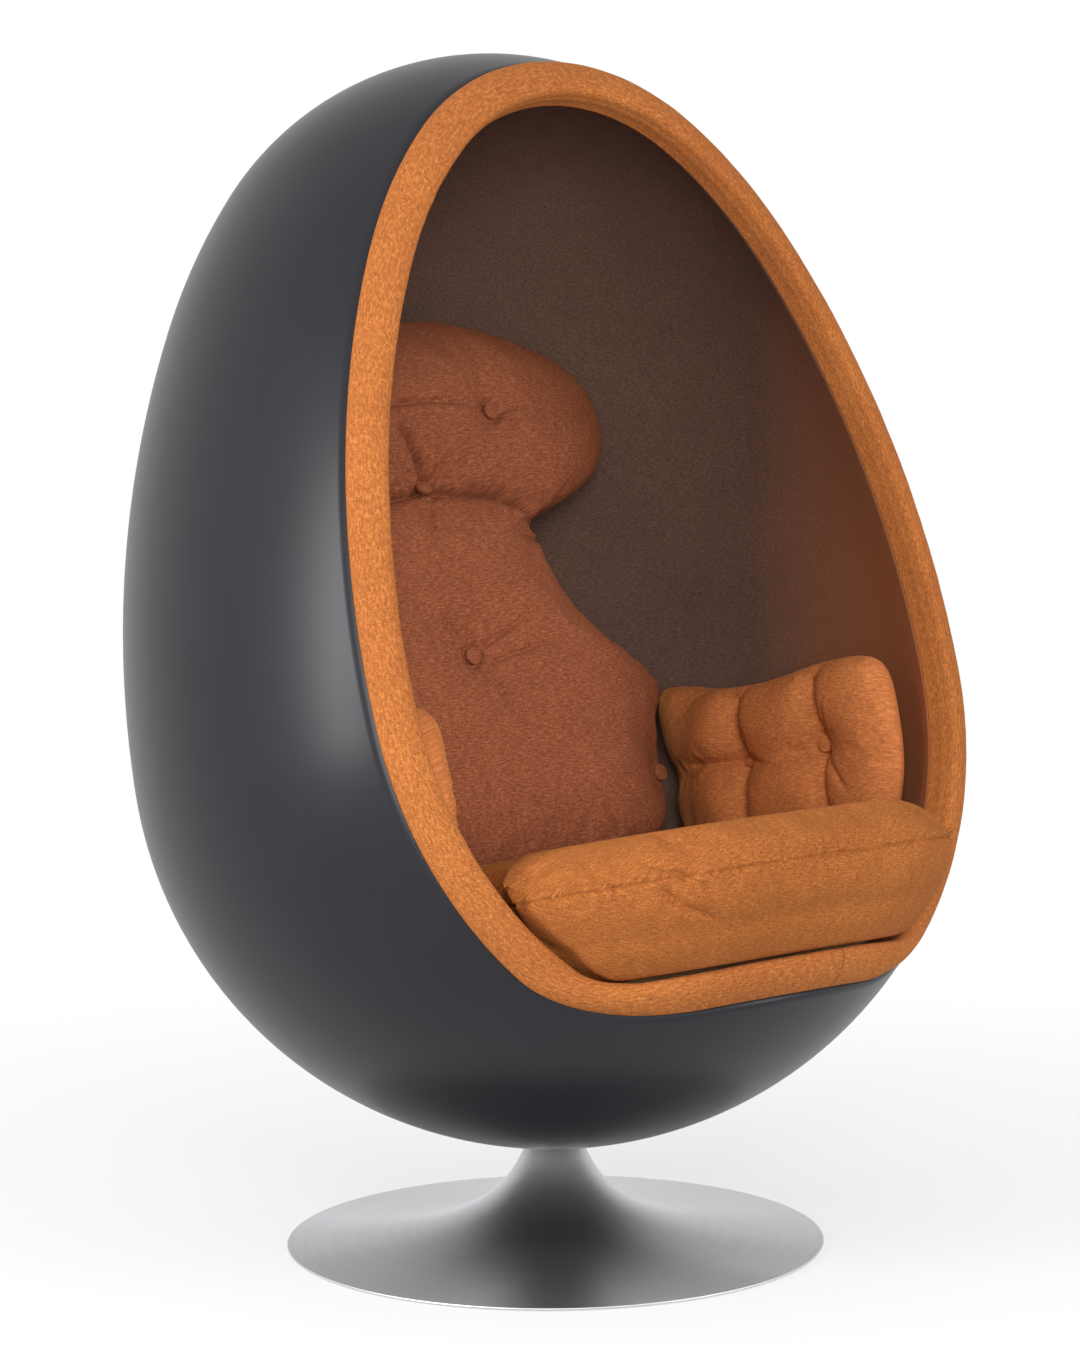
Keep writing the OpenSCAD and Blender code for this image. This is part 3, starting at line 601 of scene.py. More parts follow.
def both_as_right(q):
    """Points of the back cushion's plane, with the left half laid over the right one."""
    return np.column_stack([np.abs(q[:, 0]), q[:, 1]])


def at_tufts(q, form, *more):
    """A form at every button of the back but the waist's, summed up."""
    right = both_as_right(q)
    return form(q, LUMBAR_BUTTON, *more) + form(right, HEAD_BUTTON, *more) \
        + form(right, CORNER_BUTTON, *more)


def back_press(q):
    """How deep the folds and the buttons' pits are, over the back cushion's own plane."""
    depth = at_tufts(q, pit) + pit(q, WAIST_BUTTON)
    for k, shape in enumerate(BACK_FOLDS):
        depth += fold(both_as_right(q) if k < ALIKE_FOLDS else q, *shape)
    return depth


MOAT_DEPTH = 0.0044
MOAT_R = 0.0118
MOAT_W = 0.0030
PIT_DEPTH = 0.0042
PIT_R = 0.0170
DRAW_DEPTH = 0.0030
DRAW_R = 0.032


def pit(q, place):
    """The hollow in which a button sits, with a level floor and a groove round the button."""
    r = np.linalg.norm(q - np.asarray(place), axis=1)
    moat = MOAT_DEPTH * np.exp(-((r - MOAT_R) / MOAT_W) ** 2)
    level = PIT_DEPTH * np.exp(-(r / PIT_R) ** 4)
    return moat + level + DRAW_DEPTH * dip(q, place, DRAW_R)


def back_front(q, t):
    full = fullness(t)
    above = (q[:, 1] - crease_v(q[:, 0])) / (0.4 * (HEAD_H - WAIST_H))
    high = BACK_FRONT_T + HEAD_EXTRA_T * ease(above)
    high = high - CREASE_DEPTH * np.exp(-((q[:, 1] - crease_v(q[:, 0])) / CREASE_W) ** 2)
    grip = min(1, 4 * full)
    return full * high - grip * TUFT_DEPTH * at_tufts(q, dip, TUFT_W)


FOLD_FINE = 0.0012
HOLD_W = 0.012


def refine(obj, close, cuts=1):
    """Cuts a mesh finer among the close points, where folds are to be pressed in."""
    work = bmesh.new()
    work.from_mesh(obj.data)
    edges = [e for e in work.edges if close[e.verts[0].index] and close[e.verts[1].index]]
    bmesh.ops.subdivide_edges(work, edges=edges, cuts=cuts, use_grid_fill=True)
    work.to_mesh(obj.data)
    work.free()


def press(obj, to_plane, from_plane, depth, start, run):
    """Presses folds into a cushion's front, past a height where they start."""
    p = to_plane(coordinates(obj))
    refine(obj, (depth(p[:, [0, 2]]) > FOLD_FINE) & (p[:, 1] > start))
    p = to_plane(coordinates(obj))
    p[:, 1] -= depth(p[:, [0, 2]]) * ease((p[:, 1] - start) / run)
    set_coordinates(obj, from_plane(p))


def off_the_wall(obj):
    """Keeps a cushion off the lined wall that it rests against."""
    p = from_pod(coordinates(obj))
    most = egg_x(p[:, 1], p[:, 2], WALL_T + WALL_GAP)
    p[:, 0] = np.clip(p[:, 0], -most, most)
    set_coordinates(obj, in_pod(p))


def back_rest(points):
    """Where the back cushion's cloth is held: at its rear, its seam and its buttons."""
    p = back_to_plane(points)
    q = p[:, [0, 2]]
    spots = at_tufts(q, dip, HOLD_W) + dip(q, WAIST_BUTTON, 0.014)
    waist = fold(both_as_right(q), BACK_FOLDS[0][0], 0.8, 0.006, 0, 0)
    return np.clip(spots + waist + ease((0.012 - p[:, 1]) / 0.016), 0, 1)


def back_to_plane(points):
    """The place of the back's points across it, in front of its seam, and up."""
    return from_back(points) * [1, -1, 1]


def back_from_plane(p):
    return in_back(p * [1, -1, 1])


def make_back():
    rows = pad_points(back_outline(12), BACK_HEART, back_front,
                      lambda q, t: np.full(len(q), -BACK_REAR_T * fullness(t)), 70, 16)
    obj = loft("back_pillow", rows, back_from_plane)
    swell(obj, 0.006, 0.010, 0.004, back_rest)
    press(obj, back_to_plane, back_from_plane, back_press, 0.008, 0.025)
    off_the_wall(obj)
    return obj


ARM_SHARES = [[0.02, 0], [0.35, 0], [0.7, 0.01], [0.92, 0.12], [1.01, 0.38], [1.02, 0.72],
              [0.98, 0.98], [0.80, 1.03], [0.5, 1], [0.25, 1.03], [0.06, 1.09], [-0.02, 1.05],
              [-0.01, 0.7], [0, 0.35]]


def arm_place(s):
    return np.array([lerp(-ARM_REAR, ARM_FRONT, s[0]), lerp(-ARM_LOW, ARM_TOP, s[1])])


ARM_BUTTONS = [arm_place(s) for s in ([0.418, 0.62], [0.756, 0.62])]


FLARE_START = 0.060
FLARE_RUN = 0.080
PLEAT_W = 0.016
PLEAT_DEPTH = 0.013
LEVEL_W = 0.020
LEVEL_DEPTH = 0.009


def arm_wall_x(q):
    return egg_x(q[:, 0], q[:, 1], WALL_T) - WALL_GAP


def arm_seam_x(q):
    flare = ARM_FLARE * ease((-q[:, 0] - FLARE_START) / FLARE_RUN)
    return np.minimum(ARM_SEAM + flare, arm_wall_x(q))


def arm_front_h(q, t):
    full = fullness(t)
    grip = min(1, 4 * full)
    pleat = np.max([np.exp(-((q[:, 0] - b[0]) / PLEAT_W) ** 2) for b in ARM_BUTTONS], axis=0)
    level = np.exp(-((q[:, 1] - ARM_BUTTONS[0][1]) / LEVEL_W) ** 2)
    tufts = sum(dip(q, b, TUFT_W) for b in ARM_BUTTONS)
    beyond = ease((q[:, 0] - ARM_BUTTONS[1][0]) / 0.05)
    drawn = PLEAT_DEPTH * tufts + PLEAT_DEPTH * pleat * (1 - level)
    return full * ARM_PUFF_T - grip * (drawn + LEVEL_DEPTH * level * (1 - beyond))


ARM_PLEATS = 4


def arm_paths():
    """The pleats of an arm through its buttons, and the creases between them."""
    (a, b), (c, d) = ARM_BUTTONS
    return [
        ([[a + 0.002, b + 0.090], [a - 0.002, b + 0.040], [a, b]], 0.0125, 0.0055, 0.0, 0.0),
        ([[a, b], [a + 0.004, b - 0.045], [a - 0.002, b - 0.120]], 0.0120, 0.0055, 0.0, 0.2),
        ([[c - 0.004, d + 0.090], [c + 0.003, d + 0.040], [c, d]], 0.0100, 0.0055, 0.0, 0.0),
        ([[c, d], [c - 0.003, d - 0.045], [c + 0.004, d - 0.120]], 0.0085, 0.0060, 0.0, 0.2),
        ([[a, b], [a - 0.050, b + 0.004], [a - 0.110, b + 0.010]], 0.0100, 0.0060, 0.0, 0.4),
        ([[a, b], [(a + c) / 2, b - 0.012], [c, d]], 0.0055, 0.0070, 0.2, 0.2),
        ([[c, d], [c + 0.022, d - 0.028], [c + 0.050, d - 0.062]], 0.0065, 0.0050, 0.1, 0.4),
        ([[c, d], [c + 0.018, d + 0.026], [c + 0.030, d + 0.055]], 0.0040, 0.0045, 0.1, 0.6),
        ([[a, b], [a + 0.016, b + 0.020], [a + 0.024, b + 0.040]], 0.0040, 0.0045, 0.1, 0.6),
    ]


def arm_press(q):
    pits = sum(pit(q, b) for b in ARM_BUTTONS)
    return pits + sum(fold(q, *shape) for shape in arm_paths())


def arm_to_plane(points):
    """The place of an arm's points along it, in front of its seam, and up."""
    p = from_pod(points)
    q = np.column_stack([-p[:, 1], p[:, 2]])
    return np.column_stack([q[:, 0], arm_seam_x(q) - np.abs(p[:, 0]), q[:, 1]])


def arm_from_plane(side, to_wall=False):
    """Puts such points in place. With to_wall, those behind the seam are shares of the room
    that is left up to the wall."""
    def place(p):
        q, h = p[:, [0, 2]], p[:, 1]
        if to_wall:
            h = np.where(h < 0, h * (arm_wall_x(q) - arm_seam_x(q)), h)
        return in_pod(np.column_stack([side * (arm_seam_x(q) - h), -q[:, 0], q[:, 1]]))
    return place


def arm_rest(points):
    """Where an arm's cloth is held: along its pleats, at its foot and at the wall."""
    p = arm_to_plane(points)
    q = p[:, [0, 2]]
    held = sum(dip(q, b, HOLD_W) for b in ARM_BUTTONS)
    held = held + sum(fold(q, path, 0.7, 0.006, 0, 0) for path, *_ in arm_paths()[:ARM_PLEATS])
    return np.clip(held + ease((0.010 - p[:, 1]) / 0.014) + ease((-0.165 - q[:, 1]) / 0.02), 0, 1)


def make_arm(name, side):
    outline = through([arm_place(s) for s in ARM_SHARES], 22)
    rows = pad_points(outline, arm_place([0.5, 0.5]), arm_front_h,
                      lambda q, t: np.full(len(q), -fullness(t)), 44, 12)
    obj = loft(name, rows, arm_from_plane(side, to_wall=True))
    swell(obj, 0.005, 0.009, 0.004, arm_rest)
    press(obj, arm_to_plane, arm_from_plane(side), arm_press, 0.006, 0.018)
    off_the_wall(obj)
    return obj


# Round the seat cushion: its room to the rim, how far the ears stay in and behind the nose, how
# their corners round off, and how far the sides may pass the neck
RIM_ROOM = 0.004
EAR_INSET = 0.006
EAR_BEHIND = 0.004
CORNER_ROUND = 0.052
SIDE_PROUD = 0.009
SIDE_GAP = 0.0003
NECK_SHARE = 0.2
NOSE_SHARE = 0.85
RIM_INSET = 0.55 * WALL_T
EAR_FALL = 0.036
EAR_SHARES = [[0, 0], [0.35, 0], [0.68, 0.05], [0.90, 0.36], [1, 1]]
SEAT_SIDES = [[1, 0], [1, 0.35], [1, 0.7], [0.94, 0.93], [0.55, 1], [0, 1]]
# Over and under the seam: the reach in height, the draw of the edge, the ears' and the sides'
# share in it, and what the corners and the ears add
OVER_SEAM = (SEAT_UP, SEAT_EDGE, 0.6, 0.4, 0.070, 0)
UNDER_SEAM = (SEAT_LOW, SEAT_LOW_EDGE, 0.2, 1, 0, 0.014)


def cut_y(z):
    return KNEE[0] + (z - KNEE[1]) * math.tan(CUT_ANGLE)


def nose_y(z, h):
    if z > KNEE_C[1]:
        return cut_y(z) - h
    return KNEE_C[0] + math.sqrt(max(0, (KNEE_R - h) ** 2 - (z - KNEE_C[1]) ** 2))


def seat_row(turn):
    """The seat cushion's outline at one height, seen from above."""
    reach, edge, ear_share, side_share, corner_more, spread = OVER_SEAM if turn > 0 else UNDER_SEAM
    z = SEAT_SEAM + math.sin(turn) * reach
    draw = (1 - math.cos(turn)) * edge
    front = float(egg_r(z)) + SEAT_PROUD - draw
    nose = nose_y(z, NOSE_SHARE * RIM_BULGE)
    room = min(float(egg_x(nose, z, RIM_INSET)), float(egg_x(cut_y(z), z, WALL_T))) - RIM_ROOM
    neck = room - NECK_SHARE * draw
    ear = room - EAR_INSET + spread * math.sin(turn) ** 2 - draw * ear_share
    corner = CORNER_ROUND + corner_more * (1 - math.cos(turn))
    side = min(SEAT_HALF_W, float(egg_x(-ARM_FRONT, z, WALL_T + SIDE_GAP)),
               room + SIDE_PROUD) - draw * side_share
    rear = SEAT_REAR - draw / 2
    half = [[s[0] * ear, min(nose - RIM_ROOM - EAR_BEHIND, SEAT_FRONT_R - front
                             - math.sqrt(SEAT_FRONT_R ** 2 - (s[0] * ear) ** 2) + s[1] * corner)]
            for s in EAR_SHARES]
    half += [[neck, nose - RIM_ROOM], [neck, cut_y(z) - RIM_BULGE / 2]]
    half += [[s[0] * side, lerp(-ARM_FRONT, rear, s[1])] for s in SEAT_SIDES]
    flat = through(both_sides(half), 14)
    return np.column_stack([flat, np.full(len(flat), z)])


# Folds of the seat cushion's front, as places across and up it
SEAT_FOLDS = [
    ([[-0.215, -0.158], [-0.180, -0.186], [-0.158, -0.205]], 0.0042, 0.0045, 0.4, 0.2),
    ([[-0.205, -0.190], [-0.172, -0.222], [-0.118, -0.246]], 0.0055, 0.0042, 0.3, 0.5),
    ([[-0.166, -0.196], [-0.142, -0.214]], 0.0030, 0.0040, 0.3, 0.5),
    ([[0.262, -0.196], [0.240, -0.170], [0.215, -0.160]], 0.0030, 0.0040, 0.1, 0.6),
    ([[0.262, -0.192], [0.248, -0.150]], 0.0028, 0.0036, 0.1, 0.6),
]
SEAM_W = 0.0018
SEAM_DEPTH = 0.0026
SEAM_NEAR = 0.006


def seat_rest(points):
    """Where the seat cushion's cloth is held: underneath, and beside the arms."""
    p = from_pod(points)
    under = ease((SEAT_SEAM - 0.045 - p[:, 2]) / 0.03)
    beside = ease((p[:, 1] + 0.215) / 0.04) * ease((np.abs(p[:, 0]) - 0.200) / 0.03)
    rear = ease((p[:, 1] - 0.02) / 0.05)
    return np.clip(under + beside + rear, 0, 1)


def seat_press(obj):
    """Draws in the seat cushion's seam and the pulled folds of its front."""
    p = from_pod(coordinates(obj))
    near = np.abs(p[:, 2] - SEAT_SEAM) < SEAM_NEAR
    folded = sum(fold(p[:, [0, 2]], *rest) for rest in SEAT_FOLDS) > FOLD_FINE
    refine(obj, near | (folded & (p[:, 1] < -0.25)), 2)
    p, n = from_pod(coordinates(obj)), normals(obj)
    seam = SEAM_DEPTH * np.exp(-np.abs((p[:, 2] - SEAT_SEAM) / SEAM_W) ** 1.4)
    q = p[:, [0, 2]]
    front = ease((-0.25 - p[:, 1]) / 0.03)
    folds = sum(fold(q, *rest) for rest in SEAT_FOLDS) * front
    set_coordinates(obj, coordinates(obj) - n * (seam + folds)[:, None])


SEAT_CROWN = 0.004
EAR_LINE = (0.768, -0.640)
EAR_START = 0.34
EAR_RUN = 0.09


def nearer_heart(row, share, z):
    """A row of the seat cushion drawn in towards its middle, at a height."""
    row = lerp(row, row * [0, 0, 1] - [0, SEAT_REAR / 2, 0], share)
    row[:, 2] = z
    return row


def make_seat():
    rows = [seat_row(t) for t in np.radians(np.linspace(-82, 86, 44))]
    low = [nearer_heart(rows[0], t, SEAT_SEAM - SEAT_LOW) for t in np.linspace(0.12, 0.9, 8)]
    top = [nearer_heart(rows[-1], t, SEAT_SEAM + SEAT_UP + SEAT_CROWN * t)
           for t in np.linspace(0.06, 0.94, 26)]
    rows = np.array(low[::-1] + rows + top)
    past = EAR_LINE[0] * np.abs(rows[..., 0]) + EAR_LINE[1] * rows[..., 1] - EAR_START
    tip = ease(past / EAR_RUN)
    rows[..., 2] -= EAR_FALL * tip * ease((rows[..., 2] - SEAT_SEAM) / SEAT_UP)
    obj = loft("seat_pillow", rows, in_pod)
    swell(obj, 0.006, 0.010, 0.005, seat_rest)
    seat_press(obj)
    return obj


SWELL_FRAMES = 20
LEAST_HOLD = 0.02
# A negative least shrinking lets the cloth grow by that share
CLOTH = {"quality": 5, "mass": 0.3, "tension_stiffness": 20, "compression_stiffness": 10,
         "shear_stiffness": 6, "bending_stiffness": 0.25, "use_pressure": True,
         "uniform_pressure_force": 4.0, "shrink_min": -0.02, "vertex_group_mass": "held"}


def swell(obj, voxel, reach, less, held):
    """Stuffs a cushion: starts a little smaller and blows its cloth up from inside, with the
    held points kept in place."""
    modifier = obj.modifiers.new("remesh", "REMESH")
    modifier.mode = "VOXEL"
    modifier.voxel_size = voxel
    bake_modifiers(obj)
    rest = coordinates(obj)
    pinned = held(rest)
    rest = rest - normals(obj) * (less * (1 - pinned))[:, None]
    set_coordinates(obj, rest)
    blow(obj, pinned)
    move = coordinates(obj) - rest
    size = np.linalg.norm(move, axis=1)
    share = np.minimum(size, reach) / np.maximum(size, 1e-9)
    set_coordinates(obj, rest + move * share[:, None])
    obj.modifiers.new("round", "SUBSURF").levels = 1
    bake_modifiers(obj)
    obj.data.polygons.foreach_set("use_smooth", [True] * len(obj.data.polygons))


def blow(obj, pinned):
    """Runs the cloth for a few frames and leaves the mesh as it lies then."""
    group = obj.vertex_groups.new(name="held")
    for i in np.nonzero(pinned > LEAST_HOLD)[0]:
        group.add([int(i)], float(pinned[i]), "REPLACE")
    cloth = obj.modifiers.new("cloth", "CLOTH")
    for key, value in CLOTH.items():
        setattr(cloth.settings, key, value)
    cloth.settings.effector_weights.gravity = 0
    cloth.collision_settings.use_self_collision = False
    cloth.collision_settings.use_collision = False
    cloth.point_cache.frame_start = 1
    cloth.point_cache.frame_end = SWELL_FRAMES
    for step in range(1, SWELL_FRAMES + 1):
        bpy.context.scene.frame_set(step)
    evaluated = obj.evaluated_get(bpy.context.evaluated_depsgraph_get())
    blown = vectors(evaluated.to_mesh().vertices, "co")
    evaluated.to_mesh_clear()
    obj.modifiers.clear()
    obj.vertex_groups.clear()
    bpy.context.scene.frame_set(1)
    set_coordinates(obj, blown)


def bake_modifiers(obj):
    """Turns what an object's modifiers make into its own plain mesh."""
    graph = bpy.context.evaluated_depsgraph_get()
    graph.update()
    made = bpy.data.meshes.new_from_object(obj.evaluated_get(graph))
    obj.modifiers.clear()
    old, obj.data = obj.data, made
    bpy.data.meshes.remove(old)


def new_node(tree, kind, sockets, out=0, **settings):
    """A node: its settings come first, then the values or links of its sockets."""
    node = tree.nodes.new(kind)
    for key, value in settings.items():
        setattr(node, key, value)
    for key, value in sockets.items():
        value = value.socket if isinstance(value, Wire) else value
        if isinstance(value, bpy.types.NodeSocket):
            tree.links.new(value, node.inputs[key])
        else:
            node.inputs[key].default_value = value
    return node.outputs if out is None else node.outputs[out]


def reckoning(operation, swapped=False):
    """How a wire is joined with another value by an arithmetic sign."""
    def join(self, other):
        return self.sum(operation, *((other, self) if swapped else (self, other)))
    return join


class Wire:
    """A value in a shader, for sums with other values and with numbers."""

    def __init__(self, tree, socket):
        self.tree = tree
        self.socket = socket

    def sum(self, operation, *values):
        out = new_node(self.tree, "ShaderNodeMath", dict(enumerate(values)), operation=operation)
        return Wire(self.tree, out)

    __add__ = reckoning("ADD")
    __radd__ = reckoning("ADD", swapped=True)
    __sub__ = reckoning("SUBTRACT")
    __rsub__ = reckoning("SUBTRACT", swapped=True)
    __mul__ = reckoning("MULTIPLY")
    __rmul__ = reckoning("MULTIPLY", swapped=True)
    __truediv__ = reckoning("DIVIDE")
    __pow__ = reckoning("POWER")

    def clamped(self):
        return self.sum("MAXIMUM", self.sum("MINIMUM", self, 1.0), 0.0)

    def wave(self, size):
        """A sine of the value, from 0 to 1, one turn for each size."""
        return self.sum("SINE", self * (2 * math.pi / size)) * 0.5 + 0.5

    def step(self, low, high):
        return ((self - low) / (high - low)).clamped()


class Finish:
    """A material in the making."""

    def __init__(self, name):
        self.material = bpy.data.materials.new(name)
        self.material.use_nodes = True
        self.tree = self.material.node_tree
        self.tree.nodes.clear()

    def add(self, kind, sockets, out=0, **settings):
        return Wire(self.tree, new_node(self.tree, "ShaderNode" + kind, sockets, out, **settings))

    def place(self):
        return self.add("TexCoord", {}, "Object")

    def cloth(self):
        return self.add("Attribute", {}, "Vector", attribute_type="GEOMETRY",
                        attribute_name="cloth")

    def parts(self, vector):
        outs = new_node(self.tree, "ShaderNodeSeparateXYZ", {0: vector}, None)
        return [Wire(self.tree, out) for out in outs]

    def round_axis(self):
        """How far from the swivel axis, and how high."""
        x, y, z = self.parts(self.place())
        return (x * x + y * y) ** 0.5, z

    def vector(self, x, y, z):
        return self.add("CombineXYZ", {"X": x, "Y": y, "Z": z})

    def scaled(self, vector, by):
        return self.add("VectorMath", {0: vector, 1: by}, operation="MULTIPLY")

    def noise(self, vector, scale, detail=2.0, rough=0.5):
        return self.add("TexNoise", {"Vector": vector, "Scale": scale, "Detail": detail,
                                     "Roughness": rough}, "Fac")

    def mix(self, factor, a, b):
        """A colour between two others, each from 0 to 255 where it is given in numbers."""
        a, b = (c if isinstance(c, Wire) else (*srgb(*c), 1) for c in (a, b))
        return self.add("Mix", {0: factor, 6: a, 7: b}, 2, data_type="RGBA")

    def bump(self, height, distance, strength):
        return self.add("Bump", {"Height": height, "Distance": distance, "Strength": strength})

    def surface(self, colour, rough, normal, **more):
        """The shader itself, with its further sockets named in plain words joined by _."""
        sockets = {"Base Color": colour, "Roughness": rough, "Normal": normal}
        sockets.update((key.replace("_", " "), value) for key, value in more.items())
        return self.done(self.add("BsdfPrincipled", sockets))

    def done(self, shader):
        new_node(self.tree, "ShaderNodeOutputMaterial", {"Surface": shader}, None)
        return self.material


def srgb(r, g, b):
    """A colour as it is seen, from 0 to 255, as the numbers a shader takes."""
    return tuple(c / 12.92 if c <= 0.04045 else ((c + 0.055) / 1.055) ** 2.4
                 for c in (r / 255, g / 255, b / 255))


# Each wool's dark, middle and light shades, and its cast
WOOLS = {
    "rust_wool": [(96, 52, 36), (152, 86, 56), (190, 120, 80), (108, 66, 56)],
    "orange_wool": [(112, 62, 31), (170, 99, 47), (208, 136, 72), (130, 77, 46)],
    "amber_wool": [(142, 80, 44), (202, 120, 66), (232, 156, 94), (150, 92, 64)],
    "rim_wool": [(124, 70, 35), (182, 107, 53), (216, 144, 80), (142, 86, 52)],
    # The lining's shades are its orange cloth darkened with painted shade, for the shadow inside the
    # shell
    "lining_wool_painted_shade": [(74, 56, 50), (106, 80, 68), (128, 98, 82), (90, 70, 66)],
}
RIM_SEAM_X = 0.050


def wool(name, seam_x=None, painted_light=None):
    """Woven wool: level slubs, a fine weave, dark and bright fibres, and slow shading. It may
    have a joining seam low down, and painted light, a brighter colour towards the opening's right
    and left."""
    dark, middle, light, cast = WOOLS[name]
    f = Finish(name)
    flat, place = f.cloth(), f.place()
    u, v, _ = f.parts(flat)
    bent = v + f.noise(f.scaled(flat, (14.0, 14.0, 1.0)), 1.0, 0.0) * 0.003
    thread = f.vector(u * 150.0, bent * 600.0, 0.0)
    slub = f.noise(thread, 1.0, 3.0, 0.65)
    cross = f.noise(f.scaled(flat, (700.0, 200.0, 1.0)), 1.0, 2.0, 0.6)
    fleck = f.noise(place, 820.0, 2.0, 0.75)
    patch = f.noise(place, 60.0, 3.0, 0.6)
    slow = f.noise(place, 7.0, 2.0)
    weave = u.wave(0.0014) * v.wave(0.0014)
    tone = slub * 0.58 + cross * 0.36 + fleck * 0.40 + patch * 0.10 + slow * 0.12
    colour = f.mix(tone.step(0.58, 0.86), dark, middle)
    colour = f.mix(tone.step(0.80, 1.02), colour, light)
    colour = f.mix(cross.step(0.50, 0.78) * 0.55, colour, cast)
    height = slub * 0.4 + cross * 0.4 + weave * 0.3 + fleck * 0.35
    x, y, z = f.parts(place)
    if seam_x is not None:
        off = (x - seam_x) / 0.0016
        mark = (1.0 - off * off).clamped() * z.step(0.62, 0.58)
        colour = f.mix(mark * 0.75, colour, dark)
        height = height - mark * 1.6
    if painted_light is not None:
        # Painted light: the colour turns brighter orange towards the opening's right, left and
        # front, where light falls in
        near = ((x * x) ** 0.5 - y * 0.9).step(0.30, 0.58)
        colour = f.mix(near * (0.45 + tone * 0.4), colour, painted_light)
    normal = f.bump(height, 0.0008, 0.6)
    return f.surface(colour, 0.95, normal, Specular_IOR_Level=0.12, Sheen_Weight=0.16,
                     Sheen_Roughness=0.5, Sheen_Tint=(*srgb(*light), 1))


def gelcoat():
    """The satin outside of the shell, with a faint cloudiness and fine dust marks."""
    f = Finish("shell_gelcoat")
    place = f.place()
    cloud = f.noise(place, 5.0, 3.0)
    fine = f.noise(place, 420.0, 2.0, 0.6)
    dust = f.noise(place, 1500.0, 1.0, 0.5).step(0.72, 0.80)
    colour = f.mix(cloud.step(0.3, 0.7), (31, 31, 35), (35, 34, 39))
    colour = f.mix(dust * 0.25, colour, (96, 96, 100))
    rough = 0.31 + cloud * 0.04 + fine * 0.05
    return f.surface(colour, rough, f.bump(fine, 0.0002, 0.10), Specular_IOR_Level=0.20,
                     Coat_Weight=0.04, Coat_Roughness=0.30)


def spun_steel():
    """Stainless sheet brushed in circles round the axis."""
    f = Finish("spun_steel")
    radius, z = f.round_axis()
    rings = f.noise(f.vector(radius * 1800.0, z * 1800.0, 0.0), 1.0, 3.0, 0.7)
    wide = f.noise(f.vector(radius * 160.0, z * 160.0, 0.0), 1.0, 2.0)
    smear = f.noise(f.place(), 7.0, 3.0)
    colour = f.mix(rings * 0.5 + wide * 0.5, (176, 177, 180), (205, 206, 208))
    rough = 0.30 + rings * 0.10 + smear * 0.06
    return f.surface(colour, rough, f.bump(rings, 0.00006, 0.5), Metallic=1.0,
                     Anisotropic=0.75)


def turned_steel():
    """Turned or rolled steel with tool marks and slight staining."""
    f = Finish("turned_steel")
    radius, z = f.round_axis()
    marks = f.noise(f.vector(radius * 900.0, z * 900.0, 0.0), 1.0, 2.0, 0.6)
    stain = f.noise(f.place(), 40.0, 4.0)
    colour = f.mix(stain * 0.6 + marks * 0.4, (185.55, 186.47, 188.29), (205, 206, 208))
    rough = 0.18 + (stain * 0.5 + marks * 0.5) * 0.16
    return f.surface(colour, rough, f.bump(marks, 0.00008, 0.4), Metallic=1.0)


def painted_steel():
    f = Finish("dark_steel")
    place = f.place()
    peel = f.noise(place, 700.0, 2.0, 0.6)
    cloud = f.noise(place, 25.0, 3.0)
    worn = f.noise(place, 110.0, 4.0, 0.7).step(0.66, 0.72)
    colour = f.mix(worn, f.mix(cloud, (46, 48, 50), (60, 62, 64)), (118, 118, 116))
    return f.surface(colour, 0.42 + cloud * 0.15, f.bump(peel, 0.0002, 0.3),
                     Metallic=worn * 0.8)


PLY_T = 0.003


def plywood():
    """Birch plywood: long grain on the faces and thin plies at the edges."""
    f = Finish("birch_plywood")
    place = f.place()
    grain = f.noise(f.scaled(place, (22.0, 260.0, 260.0)), 1.0, 4.0, 0.6)
    ply = f.parts(place)[2].wave(PLY_T)
    colour = f.mix(grain.step(0.3, 0.7), (172, 128, 82), (208, 168, 118))
    colour = f.mix(ply * 0.25, colour, (150, 108, 68))
    return f.surface(colour, 0.62 + grain * 0.15, f.bump(grain, 0.0004, 0.4))


def open_foam():
    f = Finish("open_foam")
    cell = f.add("TexVoronoi", {"Vector": f.place(), "Scale": 520.0}, "Distance")
    cloud = f.noise(f.place(), 12.0, 3.0)
    colour = f.mix(cloud, (214, 196, 148), (226, 210, 166))
    colour = f.mix(cell.step(0.1, 0.6), (176, 156, 108), colour)
    return f.surface(colour, 0.95, f.bump(cell, 0.0008, 0.6))


def plastic(name, tint, shade):
    f = Finish(name)
    grain = f.noise(f.place(), 800.0, 2.0, 0.6)
    cloud = f.noise(f.place(), 30.0, 2.0)
    colour = f.mix(cloud, tint, shade)
    return f.surface(colour, 0.45 + grain * 0.2, f.bump(grain, 0.0002, 0.25))


def felt():
    f = Finish("felt")
    hair = f.noise(f.scaled(f.place(), (900.0, 900.0, 300.0)), 1.0, 4.0, 0.75)
    colour = f.mix(hair.step(0.3, 0.75), (36, 36, 38), (70, 70, 72))
    return f.surface(colour, 0.98, f.bump(hair, 0.0006, 0.8))


def paint(obj, material):
    obj.data.materials.clear()
    obj.data.materials.append(material)


# The camera fitted to the photograph: lengths of its picture are in pixels
CAMERA_PLACE = (-2.977, -3.574, 1.185)
CAMERA_AZIMUTH = math.radians(-39.79)
CAMERA_PITCH = math.radians(-6.78)
CAMERA_ROLL = math.radians(-0.54)
FOCAL_PIXELS = 4313.2
FRAME_H = 1350
SHIFT_X = -10.01
SHIFT_Y = -3.04
SENSOR_W = 36


